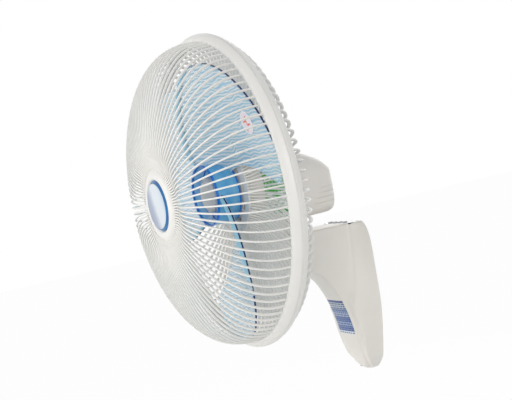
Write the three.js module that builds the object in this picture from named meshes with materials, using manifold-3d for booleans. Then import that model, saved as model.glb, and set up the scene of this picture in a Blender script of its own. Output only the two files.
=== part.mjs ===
// Wall mounted fan, 400 mm class, with a tilting and swinging head.
// Millimetres, +Z up. The origin is the centre of the wall plate's back face: the wall is the
// plane Y = 0, the fan blows towards -Y, and +X is to the right seen from the front.

import * as THREE from "three";
import { mergeVertices } from "three/addons/utils/BufferGeometryUtils.js";
import Module from "manifold-3d";

const wasm = await Module();
wasm.setup();
const { Manifold, Mesh: SolidMesh } = wasm;

// ---------------------------------------------------------------- driving dimensions

// Clearances
const GAP = 0.3; // between touching pieces
const RUNNING = 0.6; // between pieces that turn or slide past each other

// Where the head is held
const HEAD_Z = 185; // fan axis above the origin
const RIM_Y = -192; // plane where the front ribs leave the band
const TILT_Y = -115; // tilt bolt
const TILT_Z = 87;
const SWING_Y = -106; // upright swivel post

const SWIVEL_TO_RIM = SWING_Y - RIM_Y;
const LEAN = SWING_Y - TILT_Y;

// Guards, as radius and distance from the rim plane (towards the wall is positive)
const RIB_COUNT = 100;
const RIB_STEP = 360 / RIB_COUNT; // degrees
const RIB_PHASE = -0.55; // degrees from straight up to the first rib
const RING_FACETS = RIB_COUNT / 2;
const RIB_WIDTH = 2.2;
const RIB_DEPTH = 2.6;
const RIM_RADIUS = 205;
const BAND_FLARE = 11.5; // the band stands this far outside the rim
const BAND_RADIUS = RIM_RADIUS + BAND_FLARE;
const BAND_WALL = 2.6;
const BAND_SEAM = 9.2;
const BAND_BACK = 19.5;
const CAP_HEIGHT = 87; // front of the raised centre
const BOWL_DEPTH = CAP_HEIGHT + 3.9; // height of the front bowl, without its dish
const BOWL_POWER = 2.25;
const BOWL_SHOULDER = 0.4;
const DISH_DEPTH = 7; // ring shaped dip around the centre cap
const CAP_RADIUS = 49; // raised centre of the front guard
const DISH_RADIUS = CAP_RADIUS + 11;
const DISH_WIDTH = 14;
const CAP_DEPTH = 11;
const CAP_FLOOR = CAP_HEIGHT - CAP_DEPTH;
const BADGE_RADIUS = 34.1;
const BADGE_RING_WALL = 3.2;
const CAP_PLATE = 2; // floor under the badge
const BADGE_BACK = -(CAP_FLOOR + CAP_PLATE + GAP);
const REAR_PLATE_RADIUS = 58;
const REAR_PLATE_FACE = 20;
const REAR_PLATE_THICK = 4;
const REAR_DEPTH = 41; // deepest part of the rear ribs
const SLOT_COUNT = 10;
const SLOT_IN = 40;
const SLOT_OUT = 46;

// Blades
const BLADE_COUNT = 3;
const TIP_CLEARANCE = 12; // blade tip to rim
const BLADE_TIP = RIM_RADIUS - TIP_CLEARANCE;
const BLADE_WALL = 2.4;
const ROOT_RADIUS = 47; // the edges' angles and depths are given from here outwards
const TRAILING = { angle: -26.5, sweep: 51, y: -13, bow: 16 };
const LEADING = { angle: 53.5, sweep: 37, y: 14.5, rise: 6.5 };
const HUB_RADIUS = 42;
const HUB_WALL = 2.4;
const HUB_FRONT = -18;
const HUB_BACK = 17;
const HUB_WEB = 3;
const HUB_BOSS = 11;
const BLADE_NUT_RADIUS = 24;
const PIN_RADIUS = 1.5; // cross pin that drives the hub
const PIN_HALF = 9;
const PIN_Y = HUB_WEB + 9;

// Motor, along the fan axis from the rim plane
const SHAFT_RADIUS = 4;
const SHAFT_FRONT = -12;
const SHAFT_BACK = 71.5;
const ROTOR_RADIUS = 19.6;
const STATOR_RADIUS = 38.5;
const STATOR_FRONT = 42;
const STATOR_LENGTH = 18;
const STATOR_BACK = STATOR_FRONT + STATOR_LENGTH;
const STATOR_SLOTS = 12;
const AIR_GAP = 0.5;
const BELL_RADIUS = 44;
const BELL_WALL = 8.5;
const BELL_PLATE = 4;
const BELL_SEAT = 2; // the stator's ends sit this deep in the bells
const FRONT_BELL = 30;
const REAR_BELL = 72;
const BOLT_RADIUS = 1.9;
const BOLT_CIRCLE = 41.4;
const BEARING_RADIUS = 8;
const BEARING_WIDTH = 7;
const BEARING_LIP = 2; // plate left in front of each bearing
const FRONT_SEAT = FRONT_BELL + BEARING_LIP + BEARING_WIDTH;
const REAR_SEAT = REAR_BELL - BEARING_LIP - BEARING_WIDTH;
const CAPACITOR_WIDTH = 36;
const CAPACITOR_DEPTH = 16;
const CAPACITOR_HEIGHT = 18;
const CAPACITOR_FOOT = 12; // above the fan axis
const NECK_TUBE = 19.9; // threaded nose that carries the rear guard
const NUT_RADIUS = 30;
const NOSE_FRONT = 9;
const NOSE_BORE = 13;
const COVER_FACE = REAR_PLATE_FACE + REAR_PLATE_THICK + GAP;

// Motor housing
const HOUSING_RADIUS = 57;
const HOUSING_WALL = 2.5;
const HOUSING_FRONT = 44;
const HOUSING_BACK = 167;
const HOUSING_FLOOR = -HOUSING_RADIUS; // outer face, from the fan axis
const FLOOR_RISE = 1.8; // the gear stands this much clear of the dished floor
const HOUSING_FACETS = 24;
const HOUSING_STATIONS = [HOUSING_FRONT, ...[95, 69, 47, 25, 11, 4, 0].map((d) => HOUSING_BACK - d)];
const SCREW_SEAT = HOUSING_BACK - 3;
const VENT_TOP = -17;
const VENT_PITCH = 6.7;
const VENT_COUNT = 4;
const VENT_HALF = 1.3;

// Swivel under the motor, heights from the fan axis
const POST_RADIUS = 5;
const BUSH_WALL = 1.4;
const BOSS_RADIUS = 13;
const BOSS_TOP = -24;
const GEAR_TEETH = 30;
const PINION_TEETH = 12;
const TOOTH_MODULE = 4 / 3;
const BACKLASH = 0.35;
const GEAR_RADIUS = (GEAR_TEETH * TOOTH_MODULE) / 2;
const PINION_RADIUS = (PINION_TEETH * TOOTH_MODULE) / 2;
const PINION_Y = GEAR_RADIUS + PINION_RADIUS + BACKLASH;
const GEAR_THICK = 3.4;
const GEAR_FOOT = HOUSING_FLOOR + HOUSING_WALL + FLOOR_RISE;
const GEAR_TOP = GEAR_FOOT + GEAR_THICK;
const SHELF_THICK = 2.2;
const SHELF_FOOT = GEAR_TOP + GAP;
const SHELF_TOP = SHELF_FOOT + SHELF_THICK;
const BUSH_RADIUS = POST_RADIUS + GAP + BUSH_WALL;
const CLIP_RADIUS = 7;
const CLIP_THICK = 1.6;
const LUG_THICK = 6; // lug that the housing screw is driven into
const LUG_TOP = -3;
const STUD_Z = -10;
const STUD_RADIUS = 2;
const BOSS_FRONT = REAR_BELL + LUG_THICK + 2 * GAP; // the housing's long boss meets the lug
const SWING_MOTOR_RADIUS = 14;
const SWING_MOTOR_HEIGHT = 19;
const COLLAR_RADIUS = 12;

// Neck, heights from the tilt bolt
const FLANGE_RADIUS = 19;
const FLANGE_TOP = HEAD_Z + HOUSING_FLOOR - GAP - TILT_Z;
const COLLAR_TOP = FLANGE_TOP + HOUSING_WALL + FLOOR_RISE;
const POST_FOOT = FLANGE_TOP - 16;

// Wall bracket
const TOP_Z = 107;
const BOTTOM_Z = -108;
const SHELL_WALL = 3;
const ARM_HALF = 24;
const EAR_RADIUS = 17;
const TONGUE_HALF = 13;
const EAR_INNER = 13.6;
const EAR_WEB = 4.4;
const CAP_DISC_RADIUS = 12.6;
const TILT_BOLT_RADIUS = 4;
const EAR_SEAT = EAR_INNER + EAR_WEB; // where the bolt head and nut bear
const HEAD_THICK = 4;
const PLATE_WIDTH = 60;
const PLATE_HEIGHT = 150;
const PLATE_THICK = 1.6;
const HOOK_X = 22;
const HOOK_WIDTH = 12;
const HOOK_Z = 60;
const HOOK_REACH = 7;
const LUG_Z = -84;
const LUG_REACH = 16;
const LOCK_Y = -8.5;
const LOCK_RADIUS = 2;
const LOCK_HEAD = 4;
const COVER_THICK = 2.5;
const COVER_BACK = -(PLATE_THICK + GAP);
const COVER_FRONT = COVER_BACK - COVER_THICK;
const COVER_LOW = LUG_Z - 12;
const COVER_HIGH = TOP_Z - 8;
const COVER_SCREWS = [[-17, -20], [17, -20]];
const SCREW_RADIUS = 1.7;
const SCREW_HEAD = 3.4;
const GLAND_X = -15;
const GLAND_Y = -9;
const GLAND_RADIUS = 4.2;
const POWER_FACE = COVER_FRONT - 5;
const POWER_POSTS = [[-20, -64], [20, -64], [-20, 6], [20, 6]];
const PANEL_HALF = 36;
const PANEL_FRONT = -17;
const PANEL_BACK = -4;
const PANEL_THICK = 1.6;
const PANEL_Y = (PANEL_FRONT + PANEL_BACK) / 2;
const LENS_X = 28;
const BUTTON_RADIUS = 3.6;
const BUTTON_PITCH = 14;
const BUTTON_RISE = 1.4;
const BOARD_Z = 92;
const BOARD_HALF = 32;
const BOARD_FRONT = -15;
const BOARD_THICK = 1.6;
const SWITCH_TOP = BOARD_Z + BOARD_THICK + 3.4;
const PRESS = 1; // button travel

// ---------------------------------------------------------------- shape helpers

// One closed solid from any three.js geometry; faces are turned outwards if need be.
function solid(geometry) {
  const bare = geometry.index ? geometry.toNonIndexed() : geometry.clone();
  bare.deleteAttribute("normal");
  bare.deleteAttribute("uv");
  const merged = mergeVertices(bare, 1e-4);
  const triVerts = [];
  for (let i = 0; i < merged.index.count; i += 3) {
    const corners = [0, 1, 2].map((j) => merged.index.getX(i + j));
    if (new Set(corners).size === 3) triVerts.push(...corners);
  }
  const position = merged.attributes.position;
  let volume = 0;
  const at = (i) => new THREE.Vector3().fromBufferAttribute(position, i);
  for (let i = 0; i < triVerts.length; i += 3) {
    volume += at(triVerts[i]).dot(at(triVerts[i + 1]).cross(at(triVerts[i + 2])));
  }
  if (volume < 0) triVerts.reverse();
  const mesh = new SolidMesh({
    numProp: 3,
    vertProperties: new Float32Array(position.array),
    triVerts: new Uint32Array(triVerts),
  });
  return new Manifold(mesh);
}

const joined = (...solids) => Manifold.union(solids.flat());

// Number of sides that keeps a round piece round at its size.
const sides = (radius) => (radius < 3 ? 6 : radius < 10 ? 10 : radius < 25 ? 16 : 24);

const RUNNING_SIDES = 16; // on a shaft, a post and what turns on them

// Solid of revolution about Y from a closed outline of [radius, y] pairs.
function turned(outline, segments = sides(Math.max(...outline.map(([r]) => r)))) {
  const points = [...outline, outline[0]].map(([r, y]) => new THREE.Vector2(r, y));
  return solid(new THREE.LatheGeometry(points, segments));
}

const ring = (rIn, rOut, y0, y1, segments = sides(rOut)) => {
  return turned([[rIn, y0], [rOut, y0], [rOut, y1], [rIn, y1]], segments);
};

// Cylinder between two heights, along "x", "y" or "z".
function rod(radius, from, to, axis = "y", segments = sides(radius)) {
  const geometry = new THREE.CylinderGeometry(radius, radius, to - from, segments);
  geometry.translate(0, (from + to) / 2, 0);
  if (axis === "x") geometry.rotateZ(-Math.PI / 2);
  if (axis === "z") geometry.rotateX(Math.PI / 2);
  return solid(geometry);
}

function box(x0, x1, y0, y1, z0, z1) {
  const geometry = new THREE.BoxGeometry(x1 - x0, y1 - y0, z1 - z0);
  return solid(geometry.translate((x0 + x1) / 2, (y0 + y1) / 2, (z0 + z1) / 2));
}

// Skin through rings of points, closed at both ends.
function loft(rings) {
  const count = rings[0].length;
  const middles = [rings[0], rings[rings.length - 1]].map((points) => {
    const sum = points.reduce((total, point) => total.add(point), new THREE.Vector3());
    return sum.divideScalar(count);
  });
  const vertices = [...rings.flat(), ...middles].flatMap((point) => point.toArray());
  const index = [];
  const last = (rings.length - 1) * count;
  const middle = rings.length * count;
  for (let i = 0; i < count; i += 1) {
    const next = (i + 1) % count;
    for (let level = 0; level < last; level += count) {
      index.push(level + i, level + next, level + count + next);
      index.push(level + i, level + count + next, level + count + i);
    }
    index.push(middle, next, i, middle + 1, last + i, last + next);
  }
  const geometry = new THREE.BufferGeometry();
  geometry.setAttribute("position", new THREE.Float32BufferAttribute(vertices, 3));
  geometry.setIndex(index);
  return solid(geometry);
}

// Smooth curve of y over x through chosen [x, y] points, in rising x.
function curve(points) {
  return (x) => {
    let i = 0;
    while (i < points.length - 2 && x > points[i + 1][0]) i += 1;
    const slope = (k) => {
      const a = points[Math.max(k - 1, 0)];
      const b = points[Math.min(k + 1, points.length - 1)];
      return (b[1] - a[1]) / (b[0] - a[0]);
    };
    const [x0, y0] = points[i];
    const [x1, y1] = points[i + 1];
    const t = THREE.MathUtils.clamp((x - x0) / (x1 - x0), 0, 1);
    const run = x1 - x0;
    const hermite = [2 * t ** 3 - 3 * t ** 2 + 1, t ** 3 - 2 * t ** 2 + t];
    const ending = [-2 * t ** 3 + 3 * t ** 2, t ** 3 - t ** 2];
    const start = hermite[0] * y0 + hermite[1] * run * slope(i);
    return start + ending[0] * y1 + ending[1] * run * slope(i + 1);
  };
}

const turn = (geometry, count, k, phase = 0) => {
  return geometry.clone().rotateY((2 * Math.PI * (k + phase)) / count);
};

const range = (count) => Array.from({ length: count }, (_, i) => i);

function plastic(color, roughness = 0.45) {
  return new THREE.MeshStandardMaterial({ color, roughness, metalness: 0 });
}

function metal(color, roughness = 0.35) {
  return new THREE.MeshStandardMaterial({ color, roughness, metalness: 1 });
}

const WHITE = 0xe6e3dc;
const BLADE_BLUE = 0xbcdcea;
const STEEL = 0xb9bdc2;

function add(parent, name, shape, material) {
  const { vertProperties, triVerts } = shape.getMesh();
  const geometry = new THREE.BufferGeometry();
  geometry.setAttribute("position", new THREE.Float32BufferAttribute(vertProperties, 3));
  geometry.setIndex([...triVerts]);
  geometry.computeVertexNormals();
  const mesh = new THREE.Mesh(geometry, material);
  mesh.name = name;
  parent.add(mesh);
}

// ---------------------------------------------------------------- groups

const group = new THREE.Group();
const head = new THREE.Group(); // origin on the fan axis in the rim plane
head.position.set(0, RIM_Y, HEAD_Z);
const swivel = new THREE.Group(); // origin on the swivel post, level with the fan axis
swivel.position.set(0, SWING_Y, HEAD_Z);
const knuckle = new THREE.Group(); // origin on the tilt bolt
knuckle.position.set(0, TILT_Y, TILT_Z);
group.add(head, swivel, knuckle);

// ---------------------------------------------------------------- wall bracket

// Half width at the wall, crease and front edge of the shell over its height.
const wallHalf = curve([
  [BOTTOM_Z, 11], [-97, 24], [-87, 32], [-51, 43.5], [-34, 48], [-7, 53], [45, 55.5],
  [79, 56], [92, 53.5], [101, 49], [TOP_Z, 42],
]);
const creaseHalf = curve([[BOTTOM_Z, 9], [-97, 19], [-80, 28], [-40, 35], [0, 37], [TOP_Z, 35]]);
const creaseDepth = curve([[BOTTOM_Z, 9], [-97, 17], [-80, 24], [-24, 29.5], [33, 23], [TOP_Z, 15]]);
const armHalf = curve([[BOTTOM_Z, 7], [-97, 15], [-80, 20.5], [-40, 23.5], [-10, ARM_HALF], [TOP_Z, 23]]);
const armDepth = curve([
  [BOTTOM_Z, 14], [-96, 22], [-76, 28.5], [-57, 32.5], [-29, 36.5], [0, 44.5], [19, 53],
  [30, 59.5], [43, 71.5], [52, 86], [60, 98], [70, 110], [TILT_Z, 115], [TOP_Z, 112],
]);

// Level outline of the bracket at height z, drawn in by a wall thickness.
function bracketOutline(z, inset, backY, deepest) {
  const wall = wallHalf(z) - inset;
  const crease = [creaseHalf(z) - inset, creaseDepth(z) - inset * 0.5];
  const front = Math.min(armDepth(z) - inset, deepest);
  const arm = armHalf(z) - inset;
  const corner = Math.min(5, arm * 0.5);
  const half = [
    [wall, backY],
    [(wall + crease[0]) / 2 + 1, -crease[1] * 0.42],
    [crease[0] + 1.5, -crease[1]],
    [crease[0] - 2.5, -Math.min(crease[1] + 5, front - corner)],
    [arm, -Math.max(front - corner, crease[1])],
    [arm - corner * 0.3, -(front - corner * 0.3)],
    [arm - corner, -front],
  ];
  const mirrored = half.map(([x, y]) => [-x, y]).reverse();
  return [...half, ...mirrored].map(([x, y]) => new THREE.Vector3(x, y, z));
}

const BRACKET_LEVELS = [
  BOTTOM_Z, -103, -92, -72, -45, -15, 10, 30, 45, 57, 70, 90, 101, TOP_Z,
];
const CAVITY_LEVELS = [-103, -92, -72, -45, -15, 10, 30, 45, 57, 70, 90, 101, 103.6];
const CAVITY_FRONT = 84; // the arm is solid in front of this, where the fork begins
const FORK_BACK = -90;

function atKnuckle(shape) {
  return shape.translate(0, TILT_Y, TILT_Z);
}

function bracketShell() {
  const body = loft(BRACKET_LEVELS.map((z) => bracketOutline(z, 0, 0, Infinity)));
  const ears = atKnuckle(rod(EAR_RADIUS, -ARM_HALF, ARM_HALF, "x"));
  const cavity = loft(CAVITY_LEVELS.map((z) => bracketOutline(z, SHELL_WALL, 5, CAVITY_FRONT)));
  const fork = box(-EAR_INNER, EAR_INNER, TILT_Y - 40, FORK_BACK, TILT_Z - 40, TOP_Z + 10);
  const nose = box(-60, 60, TILT_Y - 40, TILT_Y, TILT_Z - 50, TOP_Z + 5);
  const earRound = atKnuckle(rod(EAR_RADIUS, -60, 60, "x"));
  const boltHole = atKnuckle(rod(TILT_BOLT_RADIUS + GAP, -60, 60, "x"));
  const web = EAR_INNER + EAR_WEB;
  const capSeats = [[web, 60], [-60, -web]].map(([from, to]) => {
    return atKnuckle(rod(CAP_DISC_RADIUS + GAP, from, to, "x"));
  });
  const panelSeat = box(
    -PANEL_HALF - GAP, PANEL_HALF + GAP, PANEL_FRONT - GAP, PANEL_BACK + GAP,
    TOP_Z - PANEL_THICK - GAP, TOP_Z + 5,
  );
  const panelWell = box(
    -PANEL_HALF + 3, PANEL_HALF - 3, PANEL_FRONT + 1.6, PANEL_BACK - 1.5, BOARD_Z + 6, TOP_Z + 5,
  );
  const rails = [-1, 1].map((side) => {
    const inner = (BOARD_HALF - 4) * side;
    const outer = 51 * side;
    const x = [Math.min(inner, outer), Math.max(inner, outer)];
    return box(x[0], x[1], -30, -6, BOARD_Z - 2.4, BOARD_Z - GAP);
  });
  const screwBosses = COVER_SCREWS.map(([x, z]) => {
    return rod(4.5, -37, COVER_FRONT - GAP, "y").translate(x, 0, z);
  });
  const screwHoles = COVER_SCREWS.map(([x, z]) => {
    return rod(SCREW_RADIUS + GAP, -16, 2, "y").translate(x, 0, z);
  });
  const glandHole = rod(GLAND_RADIUS + GAP, -130, -80, "z").translate(GLAND_X, GLAND_Y, 0);
  const lockHole = rod(LOCK_RADIUS + GAP, -130, LUG_Z + 5, "z").translate(0, LOCK_Y, 0);
  const lockPad = rod(5.5, BOTTOM_Z + 1.5, LUG_Z - GAP, "z").translate(0, LOCK_Y, 0);
  const lockHead = rod(LOCK_HEAD + GAP, -130, BOTTOM_Z + 2.8, "z").translate(0, LOCK_Y, 0);
  const hollow = body.subtract(nose.subtract(earRound)).add(ears).subtract(cavity);
  const padSpace = box(-60, 60, -60, COVER_FRONT - GAP, -120, 0);
  const inside = joined(rails, screwBosses, lockPad.intersect(padSpace));
  const kept = inside.intersect(loft(
    BRACKET_LEVELS.map((z) => bracketOutline(z, SHELL_WALL * 0.5, 0, Infinity)),
  ));
  return joined(hollow, kept)
    .subtract(joined(fork, boltHole, capSeats, panelSeat, panelWell))
    .subtract(joined(screwHoles, glandHole, lockHole, lockHead));
}

function backCover() {
  const inside = loft(CAVITY_LEVELS.map((z) => {
    return bracketOutline(z, SHELL_WALL + 2 * GAP, 5, CAVITY_FRONT);
  }));
  const sheet = box(-70, 70, COVER_FRONT, COVER_BACK, COVER_LOW, COVER_HIGH).intersect(inside);
  const slots = [-HOOK_X, HOOK_X].map((x) => {
    const half = HOOK_WIDTH / 2 + 1;
    return box(x - half, x + half, COVER_FRONT - 1, 1, HOOK_Z - 2, HOOK_Z + 9);
  });
  const lugSlot = box(-9, 9, COVER_FRONT - 1, 1, LUG_Z - 3, LUG_Z + 4);
  const posts = POWER_POSTS.map(([x, z]) => {
    return rod(3, POWER_FACE + GAP, COVER_FRONT + 0.5, "y").translate(x, 0, z);
  });
  const holes = COVER_SCREWS.map(([x, z]) => {
    return rod(SCREW_RADIUS + GAP, COVER_FRONT - 1, 1, "y").translate(x, 0, z);
  });
  const sinks = COVER_SCREWS.map(([x, z]) => {
    return rod(SCREW_HEAD + GAP, COVER_BACK - 1.2, 1, "y").translate(x, 0, z);
  });
  return joined(sheet, posts).subtract(joined(slots, lugSlot, holes, sinks));
}

function wallPlate() {
  const [wide, high] = [PLATE_WIDTH / 2, PLATE_HEIGHT / 2];
  const sheet = box(-wide, wide, -PLATE_THICK, 0, -high, high);
  const toe = box(-9, 9, -PLATE_THICK, 0, LUG_Z, 1 - high);
  const lug = box(-8, 8, -LUG_REACH, -PLATE_THICK + 0.5, LUG_Z, LUG_Z + PLATE_THICK);
  const hooks = [-HOOK_X, HOOK_X].map((x) => {
    const [left, right] = [x - HOOK_WIDTH / 2, x + HOOK_WIDTH / 2];
    const tip = -HOOK_REACH - PLATE_THICK;
    const shelf = box(left, right, tip, -PLATE_THICK + 0.5, HOOK_Z, HOOK_Z + 2);
    return joined(shelf, box(left, right, tip, -HOOK_REACH, HOOK_Z, HOOK_Z + 8));
  });
  const holes = [[-22, -52], [22, -52], [-22, 46], [22, 46]].map(([x, z]) => {
    return rod(2.6, -9, 2, "y").translate(x, 0, z);
  });
  const relief = COVER_SCREWS.map(([x, z]) => {
    return rod(SCREW_HEAD + 1, -9, 2, "y").translate(x, 0, z);
  });
  const lockHole = rod(LOCK_RADIUS + GAP, LUG_Z - 3, LUG_Z + 4, "z").translate(0, LOCK_Y, 0);
  return joined(sheet, toe, lug, hooks).subtract(joined(holes, relief, lockHole));
}

// Screw along Y with its head at the wall side.
function coverScrew() {
  const head = rod(SCREW_HEAD, COVER_BACK - 1, COVER_BACK, "y");
  return joined(head, rod(SCREW_RADIUS, -15.5, COVER_BACK - 0.5, "y"));
}

function lockScrew() {
  const shank = rod(LOCK_RADIUS, BOTTOM_Z + 1, LUG_Z + 6, "z");
  return joined(shank, rod(LOCK_HEAD, BOTTOM_Z + 0.2, BOTTOM_Z + 2.5, "z"));
}

// Rubber sleeve through the bottom of the shell, where the mains cord goes in.
function cordGland() {
  const sleeve = rod(GLAND_RADIUS, BOTTOM_Z + 1, LUG_Z - 6, "z");
  return sleeve.subtract(rod(GLAND_RADIUS - 1.5, BOTTOM_Z - 5, LUG_Z + 5, "z"));
}

function powerBoard() {
  const board = box(-25, 25, POWER_FACE - BOARD_THICK, POWER_FACE, -68, 10);
  const notches = COVER_SCREWS.map(([x, z]) => {
    return rod(4.5 + GAP * 2, POWER_FACE - 4, POWER_FACE + 2, "y").translate(x, 0, z);
  });
  const relay = box(-8, 8, POWER_FACE - 14, POWER_FACE - BOARD_THICK + 0.5, -14, 4);
  const choke = box(-9, 9, POWER_FACE - 13, POWER_FACE - BOARD_THICK + 0.5, -40, -24);
  return joined(board, relay, choke).subtract(joined(notches));
}

function terminalBlock() {
  const back = POWER_FACE - BOARD_THICK - GAP;
  const body = box(-18, 18, back - 10, back, -60, -47);
  const wells = range(4).map((i) => {
    return rod(2.4, back - 12, back - 6, "y").translate(-13.5 + 9 * i, 0, -53.5);
  });
  return body.subtract(joined(wells));
}

// ---------------------------------------------------------------- controls

const BUTTONS = ["button_power", "button_speed", "button_timer", "button_swing"];
const buttonX = (i) => -LENS_X + BUTTON_PITCH * i;

function controlPanel() {
  const sheet = box(
    -PANEL_HALF, PANEL_HALF, PANEL_FRONT, PANEL_BACK, TOP_Z - PANEL_THICK, TOP_Z,
  );
  const holes = [...range(BUTTONS.length).map(buttonX), LENS_X].map((x) => {
    return rod(BUTTON_RADIUS + GAP, TOP_Z - 5, TOP_Z + 5, "z").translate(x, PANEL_Y, 0);
  });
  return sheet.subtract(joined(holes));
}

// Cap above the panel, collar below it and a stem down to the switch.
function pushButton(x) {
  const underside = TOP_Z - PANEL_THICK - GAP;
  const cap = rod(BUTTON_RADIUS, underside - 0.5, TOP_Z + BUTTON_RISE, "z");
  const collar = rod(BUTTON_RADIUS + 0.9, underside - 1.2, underside, "z");
  const stem = rod(1.6, SWITCH_TOP + GAP, underside, "z");
  return joined(cap, collar, stem).translate(x, PANEL_Y, 0);
}

function receiverLens() {
  const underside = TOP_Z - PANEL_THICK - GAP;
  const pane = rod(BUTTON_RADIUS, underside - 1, TOP_Z, "z");
  const collar = rod(BUTTON_RADIUS + 0.9, underside - 1.2, underside, "z");
  const guide = rod(2, BOARD_Z + BOARD_THICK + GAP, underside, "z");
  return joined(pane, collar, guide).translate(LENS_X, PANEL_Y, 0);
}

// The four switch bodies are soldered to the board.
function controlBoard() {
  const back = COVER_FRONT - 1;
  const board = box(-BOARD_HALF, BOARD_HALF, BOARD_FRONT, back, BOARD_Z, BOARD_Z + BOARD_THICK);
  const switches = range(BUTTONS.length).map((i) => {
    const x = buttonX(i);
    const body = box(x - 3, x + 3, PANEL_Y - 3, PANEL_Y + 3, BOARD_Z + 1, SWITCH_TOP - 1.3);
    const plunger = rod(1.6, SWITCH_TOP - 1.5, SWITCH_TOP - PRESS, "z");
    return joined(body, plunger.translate(x, PANEL_Y, 0));
  });
  return joined(board, switches);
}

add(group, "wall_plate", wallPlate(), metal(STEEL, 0.4));
add(group, "bracket_shell", bracketShell(), plastic(WHITE));
add(group, "back_cover", backCover(), plastic(0xd4d1ca, 0.55));
add(group, "cord_gland", cordGland().translate(GLAND_X, GLAND_Y, 0), plastic(0x4a4c50, 0.8));
add(group, "lock_screw", lockScrew().translate(0, LOCK_Y, 0), metal(STEEL));
["cover_screw_left", "cover_screw_right"].forEach((name, i) => {
  const [x, z] = COVER_SCREWS[i];
  add(group, name, coverScrew().translate(x, 0, z), metal(STEEL));
});
add(group, "power_board", powerBoard(), plastic(0x2f6b45, 0.5));
add(group, "terminal_block", terminalBlock(), plastic(0xe9e7df, 0.5));
add(group, "control_panel", controlPanel(), plastic(0x2b333b, 0.2));
add(group, "receiver_lens", receiverLens(), plastic(0x3a1c22, 0.15));
add(group, "control_board", controlBoard(), plastic(0x2f6b45, 0.5));
BUTTONS.forEach((name, i) => add(group, name, pushButton(buttonX(i)), plastic(0xc9cdd0, 0.4)));

// ---------------------------------------------------------------- tilt knuckle

function tiltBolt() {
  const shank = rod(TILT_BOLT_RADIUS, -EAR_SEAT - HEAD_THICK, EAR_SEAT + 1, "x");
  return joined(shank, rod(7.5, EAR_SEAT + GAP, EAR_SEAT + HEAD_THICK, "x", 6));
}

function tiltNut() {
  const body = rod(7.5, -EAR_SEAT - HEAD_THICK, -EAR_SEAT - GAP, "x", 6);
  return body.subtract(rod(TILT_BOLT_RADIUS + GAP, -60, 60, "x"));
}

function pivotCap(side) {
  const inner = EAR_SEAT + HEAD_THICK + GAP;
  const outer = ARM_HALF + 0.6;
  const shape = joined(
    rod(CAP_DISC_RADIUS, inner, outer - 0.6, "x"),
    rod(CAP_DISC_RADIUS - 1.5, inner, outer, "x"),
  );
  return side > 0 ? shape : shape.mirror([1, 0, 0]);
}

// The neck: a round tongue in the fork, a leaning column and a collar in the housing's floor.
function neckCasting() {
  const tongue = rod(EAR_RADIUS - 0.5, -TONGUE_HALF, TONGUE_HALF, "x");
  const levels = [[0, 12, 0], [17, 12, 0.2], [24, 13, 0.55], [31, 16, 0.9], [34, FLANGE_RADIUS, 1]];
  const column = loft(levels.map(([z, half, lean]) => range(14).map((i) => {
    const angle = (2 * Math.PI * i) / 14;
    const x = Math.min(half, 12 + Math.max(z - 16, 0) * 0.5) * Math.cos(angle);
    return new THREE.Vector3(x, lean * LEAN + half * Math.sin(angle), z);
  })));
  const flange = rod(FLANGE_RADIUS, 33.5, FLANGE_TOP, "z").translate(0, LEAN, 0);
  const collar = rod(COLLAR_RADIUS, FLANGE_TOP - 1, COLLAR_TOP, "z").translate(0, LEAN, 0);
  const bore = rod(POST_RADIUS + GAP, POST_FOOT - GAP, COLLAR_TOP + 5, "z");
  const boltHole = rod(TILT_BOLT_RADIUS + GAP, -60, 60, "x");
  return joined(tongue, column, flange, collar)
    .subtract(joined(bore.translate(0, LEAN, 0), boltHole));
}

function frictionWasher(side) {
  const shape = rod(9, -0.15, 0.15, "x").subtract(rod(TILT_BOLT_RADIUS + GAP, -5, 5, "x"));
  return shape.translate(side * (TONGUE_HALF + EAR_INNER) / 2, 0, 0);
}

add(knuckle, "tilt_bolt", tiltBolt(), metal(STEEL));
add(knuckle, "tilt_nut", tiltNut(), metal(STEEL));
add(knuckle, "pivot_cap_left", pivotCap(-1), plastic(WHITE));
add(knuckle, "pivot_cap_right", pivotCap(1), plastic(WHITE));
add(knuckle, "friction_washer_left", frictionWasher(-1), plastic(0x303236, 0.8));
add(knuckle, "friction_washer_right", frictionWasher(1), plastic(0x303236, 0.8));
add(knuckle, "neck", neckCasting(), plastic(WHITE));

// ---------------------------------------------------------------- swivel under the motor

// Straight toothed outline; the tooth or the gap faces +Y at the start.
function toothed(teeth, gapFirst) {
  const radius = (teeth * TOOTH_MODULE) / 2;
  const step = (2 * Math.PI) / teeth;
  const shape = [];
  for (let i = 0; i < teeth; i += 1) {
    const middle = step * (i + (gapFirst ? 0.5 : 0));
    const corners = [
      [radius - 1.15 * TOOTH_MODULE, -0.3], [radius + 0.85 * TOOTH_MODULE, -0.11],
      [radius + 0.85 * TOOTH_MODULE, 0.11], [radius - 1.15 * TOOTH_MODULE, 0.3],
    ];
    corners.forEach(([r, share]) => {
      const angle = Math.PI / 2 - middle - share * step;
      shape.push(new THREE.Vector2(r * Math.cos(angle), r * Math.sin(angle)));
    });
  }
  const geometry = new THREE.ExtrudeGeometry(new THREE.Shape(shape), {
    depth: GEAR_THICK, bevelEnabled: false,
  });
  return solid(geometry.translate(0, 0, GEAR_FOOT));
}

function swingGear() {
  return toothed(GEAR_TEETH, false).subtract(rod(POST_RADIUS + GAP, -80, 0, "z"));
}

function swingPinion() {
  const drive = rod(2.5, GEAR_FOOT, SHELF_TOP, "z");
  return joined(toothed(PINION_TEETH, PINION_TEETH % 2 === 0), drive).translate(0, PINION_Y, 0);
}

function swivelPost() {
  const foot = TILT_Z + POST_FOOT - HEAD_Z;
  return rod(POST_RADIUS, foot, BOSS_TOP + 3, "z", RUNNING_SIDES);
}

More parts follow.
